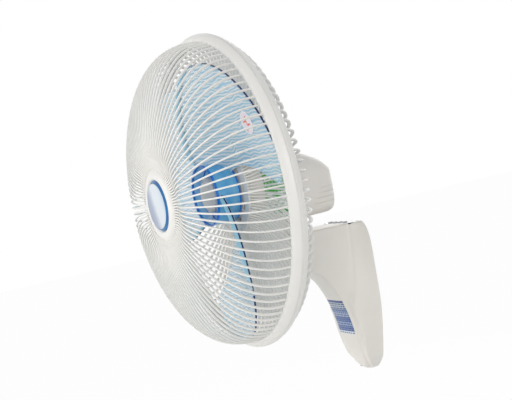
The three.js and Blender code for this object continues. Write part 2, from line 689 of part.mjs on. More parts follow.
// Boss around the post, arm to the rear motor bell and shelf for the swing motor.
function swivelHousing() {
  const boss = rod(BOSS_RADIUS, SHELF_FOOT, BOSS_TOP, "z");
  const bellFace = REAR_BELL + GAP - SWIVEL_TO_RIM;
  const arm = box(-15, 15, bellFace, 0, -40, -27);
  const lug = box(-8, 8, bellFace, bellFace + LUG_THICK, -30, LUG_TOP);
  const shelf = box(-15, 15, 0, PINION_Y + 16, SHELF_FOOT, SHELF_TOP);
  const bore = rod(BUSH_RADIUS + GAP, -80, 0, "z");
  const pinionHole = rod(3.1, -80, 0, "z").translate(0, PINION_Y, 0);
  const studHole = rod(STUD_RADIUS + GAP, -30, 30, "y").translate(0, 0, STUD_Z);
  return joined(boss, arm, lug, shelf).subtract(joined(bore, pinionHole, studHole));
}

const tube = (rIn, rOut, from, to) => {
  return rod(rOut, from, to, "z").subtract(rod(rIn, from - 1, to + 1, "z", RUNNING_SIDES));
};

function postClip() {
  const foot = BOSS_TOP + GAP;
  return tube(POST_RADIUS + GAP / 2, CLIP_RADIUS, foot, foot + CLIP_THICK);
}

function swivelBush() {
  return tube(POST_RADIUS + GAP / 2, BUSH_RADIUS, SHELF_FOOT + GAP, BOSS_TOP - GAP);
}

function swingMotor() {
  const foot = SHELF_TOP + GAP;
  const body = rod(SWING_MOTOR_RADIUS, foot, foot + SWING_MOTOR_HEIGHT, "z");
  const lead = box(-7, 7, SWING_MOTOR_RADIUS - 3, SWING_MOTOR_RADIUS + 3, foot + 3, foot + 15);
  return joined(body, lead).translate(0, PINION_Y, 0);
}

add(swivel, "swivel_post", swivelPost(), metal(STEEL));
add(swivel, "swing_gear", swingGear(), plastic(0xe4e2d8, 0.5));
add(swivel, "post_clip", postClip(), metal(STEEL));
add(swivel, "swivel_housing", swivelHousing(), metal(0x9fa3a8, 0.5));
add(swivel, "swivel_bush", swivelBush(), metal(0xb08a4a, 0.4));
add(swivel, "swing_motor", swingMotor(), metal(0xc4c7ca, 0.4));
add(swivel, "swing_pinion", swingPinion(), plastic(0xe4e2d8, 0.5));

// ---------------------------------------------------------------- motor

// End bell: plate with a bearing seat and a thick rim that holds the stator.
function endBell(plateY, rimY, seatY) {
  const inward = Math.sign(rimY - plateY);
  const rimEnd = rimY + inward * BELL_SEAT;
  const shelf = rimY - inward * GAP;
  const bore = SHAFT_RADIUS + 1;
  const pocket = BEARING_RADIUS + GAP;
  const plateBack = plateY + inward * BELL_PLATE;
  const lip = plateY + inward * BEARING_LIP;
  const body = turned([
    [bore, plateY], [BELL_RADIUS, plateY], [BELL_RADIUS, rimEnd], [STATOR_RADIUS + GAP, rimEnd],
    [STATOR_RADIUS + GAP, shelf], [BELL_RADIUS - BELL_WALL, shelf],
    [BELL_RADIUS - BELL_WALL, plateBack], [pocket + 3, plateBack],
    [pocket + 3, seatY], [pocket, seatY], [pocket, lip], [bore, lip],
  ], 24);
  const bolts = range(4).map((k) => solid(boltHole(k)));
  return body.subtract(joined(bolts));
}

function boltHole(k) {
  const hole = new THREE.CylinderGeometry(BOLT_RADIUS + GAP, BOLT_RADIUS + GAP, 90, 10);
  return turn(hole.translate(0, 50, BOLT_CIRCLE), 4, k, 0.5);
}

function motorBolt(k) {
  const shank = new THREE.CylinderGeometry(
    BOLT_RADIUS, BOLT_RADIUS, REAR_BELL - FRONT_BELL + 4, 10,
  ).translate(0, (REAR_BELL + FRONT_BELL) / 2 + 1, BOLT_CIRCLE);
  const head = new THREE.CylinderGeometry(3.3, 3.3, 2.2, 6);
  head.translate(0, FRONT_BELL - GAP - 1.1, BOLT_CIRCLE);
  return joined(solid(turn(shank, 4, k, 0.5)), solid(turn(head, 4, k, 0.5)));
}

const rotorCore = () => ring(SHAFT_RADIUS + GAP / 2, ROTOR_RADIUS, STATOR_FRONT, STATOR_BACK);

function statorCore() {
  const body = ring(ROTOR_RADIUS + AIR_GAP, STATOR_RADIUS, STATOR_FRONT, STATOR_BACK);
  const slots = range(STATOR_SLOTS).map((k) => {
    const slot = new THREE.BoxGeometry(3.4, 60, 14).translate(0, STATOR_FRONT, ROTOR_RADIUS + 6);
    return solid(turn(slot, STATOR_SLOTS, k));
  });
  return body.subtract(joined(slots));
}

const winding = (y0, y1) => {
  return ring(ROTOR_RADIUS + 3.5, BELL_RADIUS - BELL_WALL - 1.5, y0, y1, 20);
};

const bearing = (y0) => {
  const y1 = y0 + BEARING_WIDTH - 2 * GAP;
  return ring(SHAFT_RADIUS + GAP / 2, BEARING_RADIUS, y0, y1, RUNNING_SIDES);
};

// Round cover in front of the motor, with the nose that the rear guard slips over.
function motorFrontCover() {
  const body = turned([
    [NOSE_BORE, COVER_FACE], [HOUSING_RADIUS - 2, COVER_FACE], [HOUSING_RADIUS, COVER_FACE + 2.5],
    [HOUSING_RADIUS, HOUSING_FRONT - GAP], [HOUSING_RADIUS - HOUSING_WALL, HOUSING_FRONT - GAP],
    [HOUSING_RADIUS - HOUSING_WALL, COVER_FACE + 2.5], [NOSE_BORE, COVER_FACE + 2.5],
  ]);
  const nose = ring(NOSE_BORE, NECK_TUBE, NOSE_FRONT, COVER_FACE + 1);
  const vents = range(SLOT_COUNT).map((k) => solid(turn(ventSlot(), SLOT_COUNT, k, 0.5)));
  const spacer = ring(BELL_RADIUS - 16, BELL_RADIUS - 13, COVER_FACE + 2, FRONT_BELL - GAP);
  return joined(body, nose).subtract(joined(vents)).add(spacer);
}

function ventSlot() {
  const middle = (SLOT_IN + SLOT_OUT) / 2;
  return new THREE.BoxGeometry(16, 24, SLOT_OUT - SLOT_IN).translate(0, COVER_FACE, middle);
}

// Rear housing: a shell that falls away towards the back over a flat floor.
// Each pair is a distance ahead of the back and how far the skin has drawn in there.
const drawnIn = (...pairs) => curve([
  [HOUSING_FRONT, HOUSING_RADIUS],
  ...pairs.map(([ahead, drop]) => [HOUSING_BACK - ahead, HOUSING_RADIUS - drop]),
]);
const housingTop = drawnIn(
  [97, 2.5], [75, 8], [55, 16], [35, 25], [18, 33.5], [7, 44], [0, HOUSING_RADIUS],
);
const housingHalf = drawnIn([75, 1], [35, 4.5], [17, 10], [6, 19], [0, 31]);
const housingLow = drawnIn([27, 0], [12, 1.5], [5, 6], [0, 15]);

function housingRing(y, inset) {
  return range(HOUSING_FACETS).map((i) => {
    const angle = (2 * Math.PI * i) / HOUSING_FACETS;
    const [c, s] = [Math.cos(angle), Math.sin(angle)];
    const behind = THREE.MathUtils.clamp((y - HOUSING_FRONT) / 26, 0, 1);
    const square = 1 - behind * (s < 0 ? 0.5 : 0.06); // flat floor, rounder above
    const x = Math.sign(c) * Math.abs(c) ** square * (housingHalf(y) - inset);
    const reach = (s < 0 ? housingLow(y) : housingTop(y)) - inset;
    return new THREE.Vector3(x, y, Math.sign(s) * Math.abs(s) ** square * Math.max(reach, 1));
  });
}

function motorHousing() {
  const outer = loft(HOUSING_STATIONS.map((y) => housingRing(y, 0)));
  const inner = loft([
    housingRing(HOUSING_FRONT, HOUSING_WALL).map((p) => p.clone().setY(HOUSING_FRONT - 5)),
    ...HOUSING_STATIONS.slice(0, -2).map((y) => housingRing(y, HOUSING_WALL)),
    housingRing(HOUSING_BACK - HOUSING_WALL, HOUSING_WALL),
  ]);
  const floorHole = rod(COLLAR_RADIUS + RUNNING, -80, -40, "z").translate(0, SWIVEL_TO_RIM, 0);
  const studBoss = rod(5, BOSS_FRONT, SCREW_SEAT + 1, "y").translate(0, 0, STUD_Z);
  const studHole = rod(STUD_RADIUS + GAP, BOSS_FRONT - 5, HOUSING_BACK + 5, "y");
  const headHole = rod(4 + GAP, SCREW_SEAT, HOUSING_BACK + 5, "y");
  const vents = [-1, 1].flatMap((side) => range(VENT_COUNT).map((i) => {
    const z = VENT_TOP - VENT_PITCH * i;
    const x = side * housingHalf(140);
    return box(x - 14, x + 14, 122, 152, z - VENT_HALF, z + VENT_HALF);
  }));
  const drilled = joined(studHole, headHole).translate(0, 0, STUD_Z);
  return joined(outer.subtract(inner), studBoss).subtract(joined(floorHole, drilled, vents));
}

function housingScrew() {
  const shank = rod(STUD_RADIUS, REAR_BELL + 2, SCREW_SEAT + 1, "y");
  return joined(shank, rod(4, SCREW_SEAT + GAP, HOUSING_BACK - 0.4, "y")).translate(0, 0, STUD_Z);
}

function motorShaft() {
  const pinHole = rod(PIN_RADIUS + GAP, -20, 20, "x").translate(0, PIN_Y, 0);
  return rod(SHAFT_RADIUS, SHAFT_FRONT, SHAFT_BACK, "y", RUNNING_SIDES).subtract(pinHole);
}

add(head, "motor_shaft", motorShaft(), metal(STEEL, 0.25));
add(head, "rotor_core", rotorCore(), metal(0x8d9196));
add(head, "stator_core", statorCore(), metal(0x83878c, 0.5));
add(head, "winding_front", winding(FRONT_BELL + BELL_PLATE + 1, STATOR_FRONT - GAP), metal(0xa8552a));
add(head, "winding_rear", winding(STATOR_BACK + GAP, REAR_BELL - BELL_PLATE - 1), metal(0xa8552a));
add(head, "front_bell", endBell(FRONT_BELL, STATOR_FRONT, FRONT_SEAT), metal(0x9fa3a8, 0.5));
add(head, "rear_bell", endBell(REAR_BELL, STATOR_BACK, REAR_SEAT), metal(0x9fa3a8, 0.5));
add(head, "front_bearing", bearing(FRONT_BELL + BEARING_LIP + GAP), metal(STEEL, 0.3));
add(head, "rear_bearing", bearing(REAR_SEAT + GAP), metal(STEEL, 0.3));
range(4).forEach((k) => add(head, `motor_bolt_${k + 1}`, motorBolt(k), metal(STEEL)));
add(head, "motor_front_cover", motorFrontCover(), plastic(WHITE));
add(head, "motor_housing", motorHousing(), plastic(WHITE));
add(head, "housing_screw", housingScrew(), metal(STEEL));
add(head, "run_capacitor", runCapacitor(), plastic(0xe4e2d8, 0.5));

// Stands on the rear bell, above the swivel.
function runCapacitor() {
  const half = CAPACITOR_WIDTH / 2;
  const back = REAR_BELL + CAPACITOR_DEPTH;
  return box(-half, half, REAR_BELL + GAP, back, CAPACITOR_FOOT, CAPACITOR_FOOT + CAPACITOR_HEIGHT);
}

// ---------------------------------------------------------------- guards

function bowlHeight(r) {
  const share = Math.max(1 - (r / RIM_RADIUS) ** BOWL_POWER, 0);
  const dish = DISH_DEPTH * Math.exp(-(((r - DISH_RADIUS) / DISH_WIDTH) ** 2));
  return BOWL_DEPTH * share ** BOWL_SHOULDER - dish;
}

// One rib: a bar along [radius, y] points, standing at +Z; it narrows towards the blades.
function rib(path, outer) {
  const stations = path.map(([r, y], i) => {
    const before = path[Math.max(i - 1, 0)];
    const after = path[Math.min(i + 1, path.length - 1)];
    const along = new THREE.Vector2(after[0] - before[0], after[1] - before[1]).normalize();
    const [dr, dy] = [-along.y * RIB_DEPTH * 0.5, along.x * RIB_DEPTH * 0.5];
    return [[-1, outer], [1, outer], [0, -outer]].map(([across, deep]) => {
      return new THREE.Vector3(across * RIB_WIDTH * 0.5, y + deep * dy, r + deep * dr);
    });
  });
  const bar = loft(stations);
  return range(RIB_COUNT).map((k) => bar.rotate([0, RIB_PHASE + RIB_STEP * k, 0]));
}

// Two ribs stand on each facet of the rings that hold them, clear of its edges.
const ribRing = (outline) => turned(outline, RING_FACETS).rotate([0, RIB_PHASE + RIB_STEP / 2, 0]);

function frontBand() {
  const inner = BAND_RADIUS - BAND_WALL;
  return ribRing([
    [RIM_RADIUS - 3, -1], [RIM_RADIUS + 3, -1], [BAND_RADIUS, BAND_SEAM],
    [inner, BAND_SEAM], [RIM_RADIUS + 2, 2.2], [RIM_RADIUS - 3, 2.2],
  ]);
}

function rearBand() {
  const inner = BAND_RADIUS - BAND_WALL;
  return ribRing([
    [BAND_RADIUS, BAND_SEAM + GAP], [BAND_RADIUS - 3.5, BAND_BACK], [BAND_RADIUS - 10, BAND_BACK],
    [BAND_RADIUS - 10, BAND_BACK - 2.5], [inner - 3, BAND_BACK - 2.5], [inner, BAND_SEAM + GAP],
  ]);
}

function frontGuard() {
  const stations = [0.97, 0.88, 0.66].map((share) => share * RIM_RADIUS);
  const path = [
    [RIM_RADIUS, 0.8], ...[...stations, CAP_RADIUS + 17].map((r) => [r, -bowlHeight(r)]),
    [CAP_RADIUS - 2, 7.6 - CAP_HEIGHT],
  ];
  const cap = ribRing([
    [0, -CAP_FLOOR - CAP_PLATE], [BADGE_RADIUS + GAP, -CAP_FLOOR - CAP_PLATE],
    [BADGE_RADIUS + GAP, -CAP_HEIGHT + 1.4],
    [BADGE_RADIUS + 2.4, -CAP_HEIGHT], [CAP_RADIUS - 4, -CAP_HEIGHT + 1.4],
    [CAP_RADIUS - 0.6, -CAP_HEIGHT + 4.6], [CAP_RADIUS, -CAP_FLOOR], [0, -CAP_FLOOR],
  ]);
  return joined(frontBand(), rib(path, 1), cap);
}

function rearGuard() {
  const path = [
    [BAND_RADIUS - 6.2, BAND_BACK - 1], [RIM_RADIUS - 6, REAR_DEPTH - 8.5],
    [RIM_RADIUS - 33, REAR_DEPTH - 1], [REAR_PLATE_RADIUS + 26, REAR_DEPTH - 1],
    [REAR_PLATE_RADIUS - 1.2, REAR_PLATE_FACE + 1.4],
  ];
  const plateBack = REAR_PLATE_FACE + REAR_PLATE_THICK;
  const plate = ribRing([
    [NECK_TUBE + GAP, REAR_PLATE_FACE], [REAR_PLATE_RADIUS, REAR_PLATE_FACE],
    [REAR_PLATE_RADIUS, plateBack], [NECK_TUBE + GAP, plateBack],
  ]);
  const slots = range(SLOT_COUNT).map((k) => solid(turn(ventSlot(), SLOT_COUNT, k, 0.5)));
  return joined(rearBand(), rib(path, -1), plate).subtract(joined(slots));
}

function guardNut() {
  const front = REAR_PLATE_FACE - 8;
  const body = turned([
    [NECK_TUBE + GAP, front], [NUT_RADIUS - 6, front], [NUT_RADIUS - 4, front + 2],
    [NUT_RADIUS - 4, REAR_PLATE_FACE - 2.5], [NUT_RADIUS, REAR_PLATE_FACE - 2],
    [NUT_RADIUS, REAR_PLATE_FACE - GAP], [NECK_TUBE + GAP, REAR_PLATE_FACE - GAP],
  ]);
  const grips = range(6).map((k) => {
    const grip = new THREE.BoxGeometry(3, 6, 3).translate(0, front + 4, NUT_RADIUS - 4);
    return solid(turn(grip, 6, k));
  });
  return joined(body, grips);
}

// Blue ring and pale dome pressed into the centre of the front guard.
function badgeRing() {
  const inner = BADGE_RADIUS - BADGE_RING_WALL;
  return turned([
    [inner, BADGE_BACK], [BADGE_RADIUS, BADGE_BACK], [BADGE_RADIUS, -CAP_HEIGHT + 0.6],
    [BADGE_RADIUS - 1, -CAP_HEIGHT - 0.2], [inner, -CAP_HEIGHT + 0.8],
  ]);
}

function badgeLens() {
  const rim = BADGE_RADIUS - BADGE_RING_WALL - GAP;
  const dome = range(5).map((i) => {
    const r = rim * (1 - i / 4);
    return [r, -CAP_HEIGHT + 1.2 - 2.6 * (1 - (r / rim) ** 2)];
  });
  return turned([[0, BADGE_BACK], [rim, BADGE_BACK], ...dome]);
}

add(head, "rear_guard", rearGuard(), plastic(WHITE));
add(head, "guard_nut", guardNut(), plastic(WHITE));
add(head, "front_guard", frontGuard(), plastic(WHITE));
add(head, "badge_ring", badgeRing(), plastic(0x0a5a96, 0.15));
add(head, "badge_lens", badgeLens(), plastic(0xe4ecf4, 0.2));

// ---------------------------------------------------------------- blades

const span = (r) => (r - ROOT_RADIUS) / (BLADE_TIP - ROOT_RADIUS);

function bladePoint(chord, reach, side) {
  const corner = 24 * Math.abs(2 * chord - 1) ** 5;
  const r = HUB_RADIUS - 1.5 + (BLADE_TIP - corner - HUB_RADIUS + 1.5) * reach;
  const s = Math.max(span(r), 0);
  const trailing = TRAILING.angle + TRAILING.sweep * span(r);
  const leading = LEADING.angle + LEADING.sweep * (1 - (1 - Math.min(s, 1)) ** 1.8);
  const angle = THREE.MathUtils.degToRad(THREE.MathUtils.lerp(trailing, leading, chord));
  const yTrailing = TRAILING.y - TRAILING.bow * Math.sin(Math.PI * 0.62 * s);
  const yLeading = LEADING.y - LEADING.rise * s ** 2;
  const camber = 5 * Math.sin(Math.PI * chord) * Math.min(s * 3, 1);
  const y = THREE.MathUtils.lerp(yTrailing, yLeading, chord) + camber + side * BLADE_WALL * 0.5;
  return new THREE.Vector3(r * Math.sin(angle), y, r * Math.cos(angle));
}

// Rings around the blade's section, from root to tip.
function blade() {
  const chords = [0, 0.08, 0.3, 0.55, 0.8, 0.93, 1];
  const stations = range(6).map((i) => i / 5);
  return loft(stations.map((reach) => [
    ...chords.map((chord) => bladePoint(chord, reach, -1)),
    ...chords.map((chord) => bladePoint(1 - chord, reach, 1)),
  ]));
}

function bladeSet() {
  const cup = ring(HUB_RADIUS - HUB_WALL, HUB_RADIUS, HUB_FRONT, HUB_BACK);
  const web = rod(HUB_RADIUS - 1, 0, HUB_WEB, "y");
  const boss = rod(HUB_BOSS, -2, PIN_Y + 4, "y");
  const bore = rod(SHAFT_RADIUS + GAP, -60, 60, "y");
  const pinSlot = box(-PIN_HALF - 1, PIN_HALF + 1, PIN_Y - PIN_RADIUS - GAP, 40, -1.9, 1.9);
  const inner = rod(HUB_RADIUS - HUB_WALL, -60, 60, "y");
  const blades = joined(range(BLADE_COUNT).map((k) => {
    return blade().rotate([0, (360 * k) / BLADE_COUNT, 0]);
  }));
  return joined(cup, web, boss, blades.subtract(inner)).subtract(joined(bore, pinSlot));
}

function drivePin() {
  return rod(PIN_RADIUS, -PIN_HALF, PIN_HALF, "x").translate(0, PIN_Y, 0);
}

// Knurled nut on the shaft's front thread, with a closed nose.
function bladeNut() {
  const back = -2 - GAP;
  const body = turned([
    [SHAFT_RADIUS + GAP, back], [BLADE_NUT_RADIUS - 3, back], [BLADE_NUT_RADIUS, back - 2],
    [BLADE_NUT_RADIUS - 1, back - 10], [BLADE_NUT_RADIUS - 6, back - 14], [0, back - 15],
    [0, SHAFT_FRONT - GAP], [SHAFT_RADIUS + GAP, SHAFT_FRONT - GAP],
  ]);
  const grooves = range(12).map((k) => {
    const groove = new THREE.BoxGeometry(2.4, 20, 2.4).translate(0, back - 8, BLADE_NUT_RADIUS + 0.2);
    return solid(turn(groove, 12, k));
  });
  return body.subtract(joined(grooves));
}

add(head, "blade_set", bladeSet(), plastic(BLADE_BLUE, 0.15));
add(head, "blade_nut", bladeNut(), plastic(0xc9cccf, 0.4));
add(head, "drive_pin", drivePin(), metal(STEEL));

export default group;
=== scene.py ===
"""A wall mounted fan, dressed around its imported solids. Metres, +Z up, the wall is Y = 0."""

import math

import bmesh
import bpy
import numpy as np
from mathutils import Matrix, Vector


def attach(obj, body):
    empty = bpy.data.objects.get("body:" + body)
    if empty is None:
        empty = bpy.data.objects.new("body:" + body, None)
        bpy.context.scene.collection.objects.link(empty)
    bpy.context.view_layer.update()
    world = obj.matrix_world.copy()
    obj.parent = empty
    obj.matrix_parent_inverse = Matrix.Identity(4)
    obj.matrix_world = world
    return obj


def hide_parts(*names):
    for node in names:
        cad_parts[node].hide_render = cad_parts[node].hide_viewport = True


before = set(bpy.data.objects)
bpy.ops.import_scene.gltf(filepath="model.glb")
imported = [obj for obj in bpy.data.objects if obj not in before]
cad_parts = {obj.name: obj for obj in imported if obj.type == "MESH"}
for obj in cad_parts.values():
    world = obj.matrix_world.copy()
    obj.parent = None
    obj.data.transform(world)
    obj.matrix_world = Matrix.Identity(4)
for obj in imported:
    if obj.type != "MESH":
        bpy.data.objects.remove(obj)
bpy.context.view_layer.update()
scene = bpy.context.scene

# ---------------------------------------------------------------- camera, light and floor
# The camera stands in front of the fan and to its right, almost level and slightly rolled.
# A pale floor and three large soft lamps; what the camera sees past the fan is plain white.

CAMERA_AT = Vector((1.27853, -0.74600, 0.24047))
CAMERA_AXES = (
    (0.43225, 0.88098, -0.19244),  # to its right
    (0.03590, 0.19642, 0.97986),  # up
    (0.90104, -0.43046, 0.05328),  # backwards
)
LENS_MM = 72.14
SENSOR_MM = 36
FLOOR_Z = -0.62
FLOOR_HALF = 8.0
FLOOR_WHITE = 0.97  # share of plain white; the rest keeps the object's shadow
LOOK_AT = Vector((0, -0.15, 0.15))  # the fan's middle
LAMPS = {  # place, size in metres and power in watts
    "front left softbox": ((-1.0, -2.3, 0.4), 1.6, 20),
    "fill beside the camera": ((2.25, -1.3, 0.6), 1.2, 16),
    "back softbox": ((-1.6, 1.6, 0.6), 1.5, 9),
}


def linked(name, data):
    """New object in the scene for a mesh, a lamp or the camera."""
    made = bpy.data.objects.new(name, data)
    scene.collection.objects.link(made)
    return made


camera = linked("camera", bpy.data.cameras.new("camera"))
camera.data.lens = LENS_MM
camera.data.sensor_width = SENSOR_MM
camera.data.sensor_fit = "HORIZONTAL"
camera.data.clip_end = 50
camera_turn = Matrix(CAMERA_AXES).transposed().to_4x4()
camera.matrix_world = Matrix.Translation(CAMERA_AT) @ camera_turn
scene.camera = camera
scene.view_settings.view_transform = "Standard"


def wire(tree, node, inputs):
    """Gives a node its inputs: a value, or another node's output to link."""
    for key, value in inputs.items():
        if isinstance(value, bpy.types.NodeSocket):
            tree.links.new(value, node.inputs[key])
        else:
            node.inputs[key].default_value = value
    return node


def add_node(tree, kind, inputs=None, **settings):
    """Adds a node with its settings, its values and its links."""
    made = tree.nodes.new(kind)
    for key, value in settings.items():
        setattr(made, key, value)
    return wire(tree, made, inputs or {})


def linear(colour):
    """sRGB hex to linear RGBA."""
    parts = [int(colour[i : i + 2], 16) / 255 for i in (1, 3, 5)]
    curved = [p / 12.92 if p <= 0.04045 else ((p + 0.055) / 1.055) ** 2.4 for p in parts]
    return (*curved, 1.0)


def seen_as_background(tree):
    """1 for what the camera, a mirror or clear plastic sees, 0 for light on the object."""
    path = add_node(tree, "ShaderNodeLightPath").outputs
    rays = {0: path["Is Camera Ray"], 1: path["Is Glossy Ray"]}
    first = add_node(tree, "ShaderNodeMath", rays, operation="MAXIMUM").outputs[0]
    rays = {0: first, 1: path["Is Transmission Ray"]}
    return add_node(tree, "ShaderNodeMath", rays, operation="MAXIMUM").outputs[0]


world = bpy.data.worlds.new("white studio")
scene.world = world
world.use_nodes = True
tree = world.node_tree
tree.nodes.clear()
direction = add_node(tree, "ShaderNodeTexCoord").outputs["Generated"]
height = add_node(tree, "ShaderNodeSeparateXYZ", {0: direction}).outputs["Z"]
span = {"Value": height, "From Min": 0.1, "From Max": 0.9, "To Min": 0.88, "To Max": 0.38}
ceiling = add_node(tree, "ShaderNodeMapRange", span).outputs[0]
room = add_node(tree, "ShaderNodeBackground", {"Color": linear("#EEF1F4"), "Strength": ceiling})
white = add_node(tree, "ShaderNodeBackground", {"Color": (1, 1, 1, 1), "Strength": 1.0})
mixed = {0: seen_as_background(tree), 1: room.outputs[0], 2: white.outputs[0]}
shown = add_node(tree, "ShaderNodeMixShader", mixed).outputs[0]
add_node(tree, "ShaderNodeOutputWorld", {"Surface": shown})

floor_mesh = bpy.data.meshes.new("floor")
square = [(-1, -1), (1, -1), (1, 1), (-1, 1)]
corners = [(x * FLOOR_HALF, y * FLOOR_HALF, FLOOR_Z) for x, y in square]
floor_mesh.from_pydata(corners, [], [(0, 1, 2, 3)])
pale = bpy.data.materials.new("pale painted floor")
pale.use_nodes = True
tree = pale.node_tree
tree.nodes.clear()
matt = add_node(tree, "ShaderNodeBsdfDiffuse", {"Color": linear("#F4F4F2")})
bright = add_node(tree, "ShaderNodeEmission", {"Color": (1, 1, 1, 1), "Strength": 1.0})
factors = {0: seen_as_background(tree), 1: FLOOR_WHITE}
share = add_node(tree, "ShaderNodeMath", factors, operation="MULTIPLY").outputs[0]
mixed = {0: share, 1: matt.outputs[0], 2: bright.outputs[0]}
both = add_node(tree, "ShaderNodeMixShader", mixed).outputs[0]
add_node(tree, "ShaderNodeOutputMaterial", {"Surface": both})
floor_mesh.materials.append(pale)
floor = linked("floor", floor_mesh)

for name, (place, size, power) in LAMPS.items():
    light = bpy.data.lights.new(name, "AREA")
    light.energy = power
    light.size = size
    light.color = (1.0, 0.985, 0.965)
    aim = (LOOK_AT - Vector(place)).to_track_quat("-Z", "Y").to_matrix().to_4x4()
    linked(name, light).matrix_world = Matrix.Translation(place) @ aim

# ---------------------------------------------------------------- wall bracket
# The bracket is one injection moulding of warm white ABS: a broad foot on the wall that draws
# in to an arm, and a fork with two round ears at the arm's end. It hangs on the wall plate.

MM = 0.001
GAP = 0.3  # running or fitting gap between two pieces
TILT_Y = -115
TILT_Z = 87
TOP_Z = 107
BOTTOM_Z = -108
SHELL_WALL = 3
ARM_HALF = 24
EAR_RADIUS = 17
EAR_INNER = 13.6
EAR_SEAT = 18.0
CAP_DISC_RADIUS = 12.6
BOLT_HOLE = 4.3
FORK_BACK = -90
TOP_ROUND = 3.0
FOOT_ROUND = 5.0


def new_material(name, inputs):
    """Material with its shader's plain values; also its tree, shader and place on the piece."""
    material = bpy.data.materials.new(name)
    material.use_nodes = True
    tree = material.node_tree
    shader = wire(tree, tree.nodes["Principled BSDF"], inputs)
    return material, tree, shader, add_node(tree, "ShaderNodeTexCoord").outputs["Object"]


def moulded_plastic(name, colour, shade, roughness, grain_mm=1.1, relief_mm=0.03, coat=0.0):
    """Moulded plastic: a faint cloudy shift of colour, 45 mm across, and a fine spark eroded
    grain. The real grain is about 0.2 mm; grain_mm draws it as coarse as the render can show."""
    material, tree, shader, place = new_material(name, {"IOR": 1.5, "Coat Weight": coat})
    clouds = {"Vector": place, "Scale": 1 / (45 * MM), "Detail": 4.0}
    cloud = add_node(tree, "ShaderNodeTexNoise", clouds).outputs["Fac"]
    tones = {0: cloud, 6: linear(colour), 7: linear(shade)}
    tint = add_node(tree, "ShaderNodeMix", tones, data_type="RGBA").outputs[2]
    grains = {"Vector": place, "Scale": 1 / (grain_mm * MM), "Detail": 2.0}
    grain = add_node(tree, "ShaderNodeTexNoise", grains).outputs["Fac"]
    bumps = {"Height": grain, "Distance": relief_mm * MM, "Strength": 0.6}
    relief = add_node(tree, "ShaderNodeBump", bumps).outputs[0]
    span = {"Value": cloud, "To Min": roughness - 0.04, "To Max": roughness + 0.05}
    gloss = add_node(tree, "ShaderNodeMapRange", span).outputs[0]
    wire(tree, shader, {"Base Color": tint, "Roughness": gloss, "Normal": relief})
    return material


# Satin warm white ABS: gives a soft broad highlight and no clear reflection.
white_abs = moulded_plastic("warm white ABS, satin moulded", "#EFEBE5", "#E8E2DA", 0.36)


def curve(points):
    """Smooth curve through [x, y] points in rising x, as the solids use it."""

    def slope(k):
        a, b = points[max(k - 1, 0)], points[min(k + 1, len(points) - 1)]
        return (b[1] - a[1]) / (b[0] - a[0])

    def value(x):
        i = 0
        while i < len(points) - 2 and x > points[i + 1][0]:
            i += 1
        (x0, y0), (x1, y1) = points[i], points[i + 1]
        t = min(max((x - x0) / (x1 - x0), 0), 1)
        run = x1 - x0
        start = (2 * t**3 - 3 * t**2 + 1) * y0 + (t**3 - 2 * t**2 + t) * run * slope(i)
        return start + (-2 * t**3 + 3 * t**2) * y1 + (t**3 - t**2) * run * slope(i + 1)

    return value


wall_half = curve(
    [(BOTTOM_Z, 11), (-97, 24), (-87, 32), (-51, 43.5), (-34, 48), (-7, 53), (45, 55.5), (79, 56)]
    + [(92, 53.5), (101, 49), (TOP_Z, 42)]
)
crease_half = curve([(BOTTOM_Z, 9), (-97, 19), (-80, 28), (-40, 35), (0, 37), (TOP_Z, 35)])
crease_depth = curve([(BOTTOM_Z, 9), (-97, 17), (-80, 24), (-24, 29.5), (33, 23), (TOP_Z, 15)])
arm_half = curve([(BOTTOM_Z, 7), (-97, 15), (-80, 20.5), (-40, 23.5), (-10, ARM_HALF), (TOP_Z, 23)])
arm_depth = curve(
    [(BOTTOM_Z, 14), (-96, 22), (-76, 28.5), (-57, 32.5), (-29, 36.5), (0, 44.5), (19, 53)]
    + [(30, 59.5), (43, 71.5), (52, 86), (60, 98), (70, 110), (TILT_Z, 115), (TOP_Z, 112)]
)


def rounded(points, per):
    """Even run of points along a centripetal curve through the given ones, ends kept."""
    p = np.array([2 * np.array(points[0]) - points[1], *points, 2 * np.array(points[-1]) - points[-2]])
    made = []
    for i in range(1, len(p) - 2):
        p0, p1, p2, p3 = p[i - 1 : i + 3]
        t1 = np.linalg.norm(p1 - p0) ** 0.5
        t2 = t1 + np.linalg.norm(p2 - p1) ** 0.5
        t3 = t2 + np.linalg.norm(p3 - p2) ** 0.5
        for t in np.linspace(t1, t2, per, endpoint=False):
            a1 = (t1 - t) / t1 * p0 + t / t1 * p1
            a2 = (t2 - t) / (t2 - t1) * p1 + (t - t1) / (t2 - t1) * p2
            a3 = (t3 - t) / (t3 - t2) * p2 + (t - t2) / (t3 - t2) * p3
            b1 = (t2 - t) / t2 * a1 + t / t2 * a2
            b2 = (t3 - t) / (t3 - t1) * a2 + (t - t1) / (t3 - t1) * a3
            made.append((t2 - t) / (t2 - t1) * b1 + (t - t1) / (t2 - t1) * b2)
    return [*made, np.array(points[-1], float)]


def bracket_outline(z, inset, back_y, deepest, per=5):
    """Level outline at height z, from the right edge on the wall round the arm to the left."""
    wall = wall_half(z) - inset
    crease = (crease_half(z) - inset, crease_depth(z) - inset * 0.5)
    front = min(arm_depth(z) - inset, deepest)
    arm = arm_half(z) - inset
    corner = min(5, arm * 0.5)
    side = [
        (wall, back_y),
        ((wall + crease[0]) / 2 + 1, -crease[1] * 0.42),
        (crease[0] + 1.5, -crease[1]),
        (crease[0] - 2.5, -min(crease[1] + 5, front - corner)),
        (arm, -max(front - corner, crease[1])),
        (arm - corner * 0.3, -(front - corner * 0.3)),
        (arm - corner, -front),
    ]
    outline = side + [(-x, y) for x, y in reversed(side)]
    return [(x, y, z) for x, y in rounded(outline, per)]


